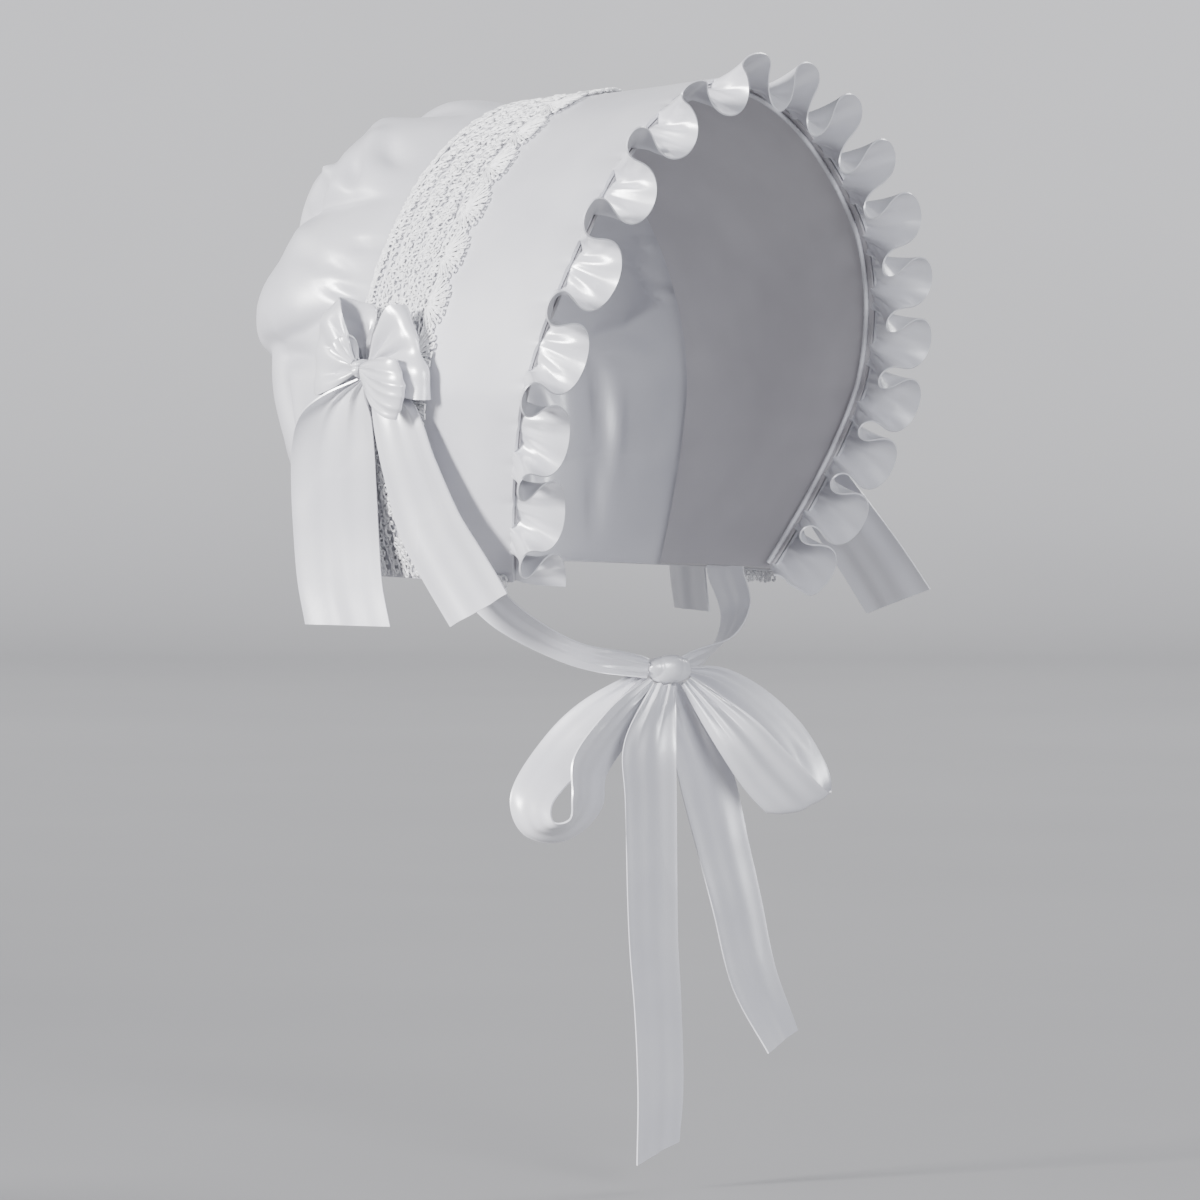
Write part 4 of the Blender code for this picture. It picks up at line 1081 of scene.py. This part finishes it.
def make_hem(side, mirror, lace):
    """Narrow lace over the brim's bottom edge, from the front corner back."""
    stations = 121
    foot = brim_grid([0.0, 0.004], np.linspace(0.02, 0.02 + HEM_LENGTH / BRIM_DEPTH, stations))
    line = foot[0]
    outward = normals(foot)[0]
    outward[:, 2] = 0.0
    outward = unit(outward)
    length = lengths_along(line[:, None, :], 0)[:, 0] * 1000
    cords = []
    for k, (v, size, pitch) in enumerate(((1.5, 1.4, 2.9), (4.0, 1.5, 2.6), (6.6, 1.1, 2.7))):
        t = np.arange(0.3, length[-1] / pitch - 0.3, 0.08)
        turn = 2 * math.pi * t + k
        u = t * pitch + size * np.sin(turn)
        w = v + size * np.cos(turn) + 0.4 * np.sin(t * 1.7)
        cords.append(evened(np.stack([u, w, 0.5 + 0.2 * np.sin(turn * 0.5 + k)], axis=1), 0.6))
    paths, ups = [], []
    for cord in cords:
        at = np.clip(cord[:, 0], 0.0, length[-1])
        base = between(at, length, line)
        up = unit(between(at, length, outward))
        rise = cord[:, 1:2] / 1000
        spot = base + up * (LACE_LIFT + HEM_LEAN * rise / HEM_HEIGHT + cord[:, 2:3] / 1000)
        spot[:, 2:3] += rise - HEM_BELOW_EDGE
        paths.append(spot * np.array([mirror, 1.0, 1.0]))
        ups.append(up * np.array([mirror, 1.0, 1.0]))
    verts, faces = tube_mesh(paths, ups, [CORD_RADIUS * 1.1] * len(paths), 6)
    piece(f"foot_lace_{side}", verts, faces, lace, [f"lace_hem_{side}"])


# How a ribbon is dressed: its piece, flat width, folds across it where it is
# pinched and how far along they fade (mm), edge curl, soft bands, bulge of a
# loop's end, and the lip of a folded edge (all mm).
Dress = namedtuple("Dress", "cad width folds fade curl bands bulge lip")


def ribbon_piece(name, line, dress, reach_width, mat, out, seed, both_ends):
    """A satin ribbon on its CAD line, gathered into folds where it is pinched."""
    middle, half, share = line
    stations, across = len(middle), RIBBON_ACROSS
    c = np.linspace(-1.0, 1.0, across)[None, :]
    grid = middle[:, None, :] + half[:, None, :] * c[:, :, None]
    length = lengths_along(middle[:, None, :], 0)[:, 0]
    along = (length / length[-1])[:, None]
    near = np.minimum(length, length[-1] - length) if both_ends else length
    source = np.random.default_rng(seed)
    shift = source.random(4) * 2 * math.pi
    taken_up = np.clip(1 / np.clip(share, 0.05, 1.0), 1.0, 1.8) - 1.0
    slope = 2 * np.sqrt(taken_up) * (1 + 0.25 * taken_up)
    height = slope * reach_width * share / dress.folds / (2 * math.pi)
    height = height * np.exp(-(near / (dress.fade / 1000)) ** 1.3)
    warped = c + 0.16 * np.sin(2.2 * math.pi * c + shift[0]) / dress.folds
    pleat = np.abs(np.cos(math.pi / 2 * dress.folds * warped + shift[1])) ** 0.8
    fold = height[:, None] * (1 - 2 * pleat)
    calm = np.clip(near / (0.45 * reach_width), 0.0, 1.0)[:, None]
    bend = dress.curl / 1000 * (c ** 2 - 0.33) * calm
    bands = np.cos(math.pi * 1.3 * c + shift[2]) + 0.5 * np.cos(math.pi * 2.9 * c + shift[3])
    bands = bands * calm
    cells = max(int(length[-1] / 0.018), 2)
    soft = (smooth_noise((stations, across), (cells, 2), seed) - 0.5) * 2 * calm
    move = fold + bend + (bands * 0.6 + soft) * dress.bands / 1000
    facing = normals(grid)
    if float((facing * out).sum(axis=2).mean()) < 0:
        facing = -facing
    strip = np.clip((-c - 0.35) / 0.65, 0.0, 1.0) ** 1.3
    strip = strip * np.exp(-((near - 0.020) / 0.017) ** 2)[:, None]
    grid = grid + facing * (move + strip * dress.lip / 1000)[:, :, None]
    if both_ends:
        away = unit(middle[stations // 2] - (middle[0] + middle[-1]) / 2)
        bulge = dress.bulge / 1000 * (0.45 - c ** 2) * np.sin(math.pi * along) ** 2
        grid = grid + away * bulge[:, :, None]
    selvage = 1 + SELVAGE * np.exp(-((1 - np.abs(c)) / 0.035) ** 2)
    thick = RIBBON_THICK / 2 * selvage * np.ones((stations, 1))
    made = cloth(name, grid, thick, mat, [dress.cad])
    return made


def knot_piece(name, cad_node, knot, origin, axes, mat, folds, wrap, seed):
    """A knot of ribbon: a stuffed boxy ball with wrapped folds."""
    rings, sides = WRAP_RINGS, WRAP_SIDES
    verts = []
    source = np.random.default_rng(seed)
    shift = source.random(4) * 6.28
    for i in range(rings):
        polar = math.pi * (i + 0.5) / rings
        for s in range(sides):
            turn = 2 * math.pi * s / sides
            out = math.sin(polar)
            spot = np.array([out * math.cos(turn), out * math.sin(turn), math.cos(polar)])
            spot = spot[list(wrap)]
            level = (np.abs(spot) ** knot.boxiness).sum() ** (1 / knot.boxiness)
            run = polar * folds + 0.9 * math.sin(turn + shift[0]) + 0.5 * math.sin(2 * turn + shift[1])
            dent = 0.10 * (abs(math.sin(run)) ** 0.6 - 0.75)
            dent += 0.03 * math.sin(3 * turn + 2 * polar + shift[2])
            place = knot.middle + spot / level * knot.radii * (1.0 + dent)
            verts.append(origin + sum(axis * place[k] for k, axis in enumerate(axes)))
    index = np.arange(rings * sides).reshape(rings, sides)
    after = np.roll(index, -1, axis=1)
    faces = np.stack([index[:-1], index[1:], after[1:], after[:-1]], axis=2).reshape(-1, 4).tolist()
    faces.append(index[0].tolist())
    faces.append(index[-1][::-1].tolist())
    verts = np.array(verts)
    centre = verts.mean(axis=0)
    a, b, c = verts[faces[0][0]], verts[faces[0][1]], verts[faces[0][2]]
    if np.dot(np.cross(b - a, c - a), a - centre) < 0:
        faces = [face[::-1] for face in faces]
    uv = verts[:, :2] * 1.0
    made = piece(name, verts, faces, mat, [cad_node], uv)


def make_bow(pieces, cad_name, scene_name, knot, place, axes, width, reaches, satin, seed):
    """Loops and ends round a knot; reaches are those of a loop and of an end."""
    for k, (name, rows, stations, dress) in enumerate(pieces):
        loop = not name.startswith("tail")
        reach = reaches[0] if loop else reaches[1]
        line = ribbon_line(rows, place, axes, reach, width, stations, knot, loop)
        dress = dress._replace(cad=cad_name.format(name))
        ribbon_piece(scene_name.format(name), line, dress, width, satin,
                     axes[1], seed + k, loop)


def make_side_bow(side, mirror, tail_front, satin):
    place = bow_place(mirror)
    knot, axes = side_bow_knot_and_axes(mirror)
    width = SIDE_RIBBON_WIDTH
    centre = f"{side}_bow_centre"
    knot_piece(centre, f"{side}_bow_knot", knot, place, axes, satin, 4.0, (0, 1, 2), 31)
    pieces = (
        ("loop_front", SIDE_LOOP_FRONT, 110, Dress("", width, 3.5, 20, 0.0, 1.5, 5.5, 0.0)),
        ("loop_back", SIDE_LOOP_BACK, 110, Dress("", width, 3.5, 20, 0.0, 1.5, 7.0, 0.0)),
        ("lobe_front", SIDE_LOBE_FRONT, 100, Dress("", 0.0258, 5.0, 19, -0.8, 0.5, 5.0, 0.0)),
        ("lobe_back", SIDE_LOBE_BACK, 70, Dress("", 0.0142, 3.0, 8, 0.0, 0.2, 2.0, 0.0)),
        ("tail_front", tail_front, 110, Dress("", width, 3.0, 17, 0.8, 1.0, 0.0, 0.0)),
        ("tail_back", SIDE_TAIL_BACK, 110, Dress("", width, 3.0, 17, 0.8, 1.0, 0.0, 5.0)),
    )
    make_bow(pieces, side + "_bow_{}", side + "_{}", knot, place, axes, width,
             (SIDE_BOW_REACH, SIDE_TAIL_LENGTH), satin, 40)


def make_chin_tie(satin):
    place = chin_place()
    knot, axes = chin_knot_and_axes()
    width = CHIN_RIBBON_WIDTH
    knot_piece("chin_wrap", "chin_knot", knot, place, axes, satin, 3.0, (2, 0, 1), 51)
    ahead = np.array([0.0, -1.0, 0.0])
    for side, mirror in (("near", 1.0), ("far", -1.0)):
        line = tuple(part[::-1] for part in chin_strand_line(mirror, 100))
        dress = Dress(f"chin_strand_{side}", width, 2.5, 16, 0.6, 0.4, 0.0, 0.0)
        ribbon_piece(f"{side}_strand", line, dress, width, satin,
                     ahead, 60, False)
    pieces = (
        ("loop_near", CHIN_LOOP_NEAR, 150, Dress("", width, 3.0, 15, 0.8, 0.5, 1.0, 0.0)),
        ("loop_far", CHIN_LOOP_FAR, 140, Dress("", width, 3.0, 17, 0.8, 0.6, 3.0, 0.0)),
        ("tail_near", CHIN_TAIL_NEAR, 150, Dress("", width, 2.5, 18, 0.9, 0.5, 0.0, 0.0)),
        ("tail_far", CHIN_TAIL_FAR, 130, Dress("", width, 2.5, 18, 0.9, 0.5, 0.0, 0.0)),
    )
    make_bow(pieces, "chin_{}", "chin_{}_ribbon", knot, place, axes, width,
             (CHIN_LOOP_REACH, CHIN_TAIL_LENGTH), satin, 70)


# Studio
AZIMUTH, ELEVATION = math.radians(-42.0), math.radians(2.9)
FLAT_TOWARD = Vector((math.sin(AZIMUTH), -math.cos(AZIMUTH), 0.0))
UP = Vector((0.0, 0.0, 1.0))
TOWARD = FLAT_TOWARD * math.cos(ELEVATION) + UP * math.sin(ELEVATION)
RIGHT = Vector((math.cos(AZIMUTH), math.sin(AZIMUTH), 0.0))
TARGET = RIGHT * 0.0405 + Vector((0.0, 0.0, -0.2182)) + TOWARD * 0.070
VIEW_DISTANCE = 3.5
METRES_PER_PIXEL = 0.000445


def look_from(obj, place, target):
    away = (place - target).normalized()
    side = Vector((0, 0, 1)).cross(away).normalized()
    over = away.cross(side)
    turned = Matrix((side, over, away)).transposed().to_4x4()
    obj.matrix_world = Matrix.Translation(place) @ turned


def make_camera():
    camera = bpy.data.cameras.new("camera")
    camera.sensor_width = 36.0
    camera.lens = 36.0 * VIEW_DISTANCE / (METRES_PER_PIXEL * 1200)
    camera.clip_start = 0.05
    camera.clip_end = 50.0
    obj = bpy.data.objects.new("camera", camera)
    bpy.context.scene.collection.objects.link(obj)
    look_from(obj, TARGET + TOWARD * VIEW_DISTANCE, TARGET)
    bpy.context.scene.camera = obj


def make_sun(name, turn, height, strength, angle, colour):
    """A soft far light, so many degrees to the camera's right and so many up."""
    light = bpy.data.lights.new(name, "SUN")
    light.energy = strength
    light.angle = math.radians(angle)
    light.color = colour
    obj = bpy.data.objects.new(name, light)
    bpy.context.scene.collection.objects.link(obj)
    turn, height = math.radians(turn), math.radians(height)
    way = FLAT_TOWARD * math.cos(turn) + RIGHT * math.sin(turn)
    way = way * math.cos(height) + UP * math.sin(height)
    look_from(obj, TARGET + way * 4.0, TARGET)


def make_studio():
    mat, tree, shader = new_material("pale_floor", {"Roughness": 0.95, "Specular IOR Level": 0.1})
    where = tree.nodes.new("ShaderNodeTexCoord").outputs["Object"]
    grain = noise(tree, where, 3.0, 4.0, 0.5)
    coloured(tree, shader, grain, (0.0, (0.30, 0.30, 0.31)), (1.0, (0.33, 0.33, 0.34)))
    low = CAD_BOX[0][2] - 0.012
    bend = [(1.2 * math.sin(a), 1.2 - 1.2 * math.cos(a)) for a in np.linspace(0.0, math.pi / 2, 17)]
    profile = [(-8.0, 0.0)] + [(4.0 + run, up) for run, up in bend] + [(5.2, 2.2)]
    verts = []
    for run, up in profile:
        for side in (-10.0, 10.0):
            verts.append(tuple(RIGHT * side - FLAT_TOWARD * run + UP * (low + up)))
    faces = [(2 * k, 2 * k + 1, 2 * k + 3, 2 * k + 2) for k in range(len(profile) - 1)]
    mesh = bpy.data.meshes.new("floor")
    mesh.from_pydata(verts, [], faces)
    mesh.materials.append(mat)
    mesh.shade_smooth()
    floor = bpy.data.objects.new("floor", mesh)
    bpy.context.scene.collection.objects.link(floor)
    world = bpy.data.worlds.new("studio")
    world.use_nodes = True
    sky = world.node_tree.nodes["Background"].inputs
    sky["Color"].default_value = (0.86, 0.88, 0.95, 1.0)
    sky["Strength"].default_value = 0.26
    bpy.context.scene.world = world
    make_sun("key", -58.0, 17.0, 9.5, 15.0, (1.0, 0.99, 0.985))
    make_sun("fill", 24.0, 14.0, 2.6, 24.0, (0.95, 0.965, 1.0))
    make_sun("rim", 125.0, 40.0, 1.8, 20.0, (1.0, 1.0, 1.0))


def main():
    satin = satin_material(
        "white_satin_cloth", (0.62, 0.62, 0.66), (0.56, 0.56, 0.605), 0.37, 0.06, 0.06)
    ribbon = satin_material(
        "white_satin_ribbon", (0.65, 0.65, 0.69), (0.59, 0.59, 0.635), 0.30, 0.05, 0.05)
    # The lining is the cover's satin in darker mauve-grey tones: painted shade for the inside of the
    # brim.
    lining_satin_painted_shade = satin_material(
        "lining_satin_painted_shade", (0.43, 0.415, 0.44), (0.37, 0.355, 0.38), 0.46, 0.08, 0.10)
    lace = lace_material("white_lace_cord")
    make_brim(satin, lining_satin_painted_shade)
    make_piping(satin)
    make_ruffle(ribbon)
    make_crown(satin)
    make_lace_band(lace)
    for side, mirror, tail_front in (("near", 1.0, SIDE_TAIL_FRONT), ("far", -1.0, FAR_TAIL_FRONT)):
        make_hem(side, mirror, lace)
        make_side_bow(side, mirror, tail_front, ribbon)
    make_chin_tie(ribbon)
    make_studio()
    make_camera()


WAVES = round(line_length(brim_grid(np.linspace(0.0, 1.0, 401), [0.0, 0.02])[:, 0]) / RUFFLE_PITCH)
main()
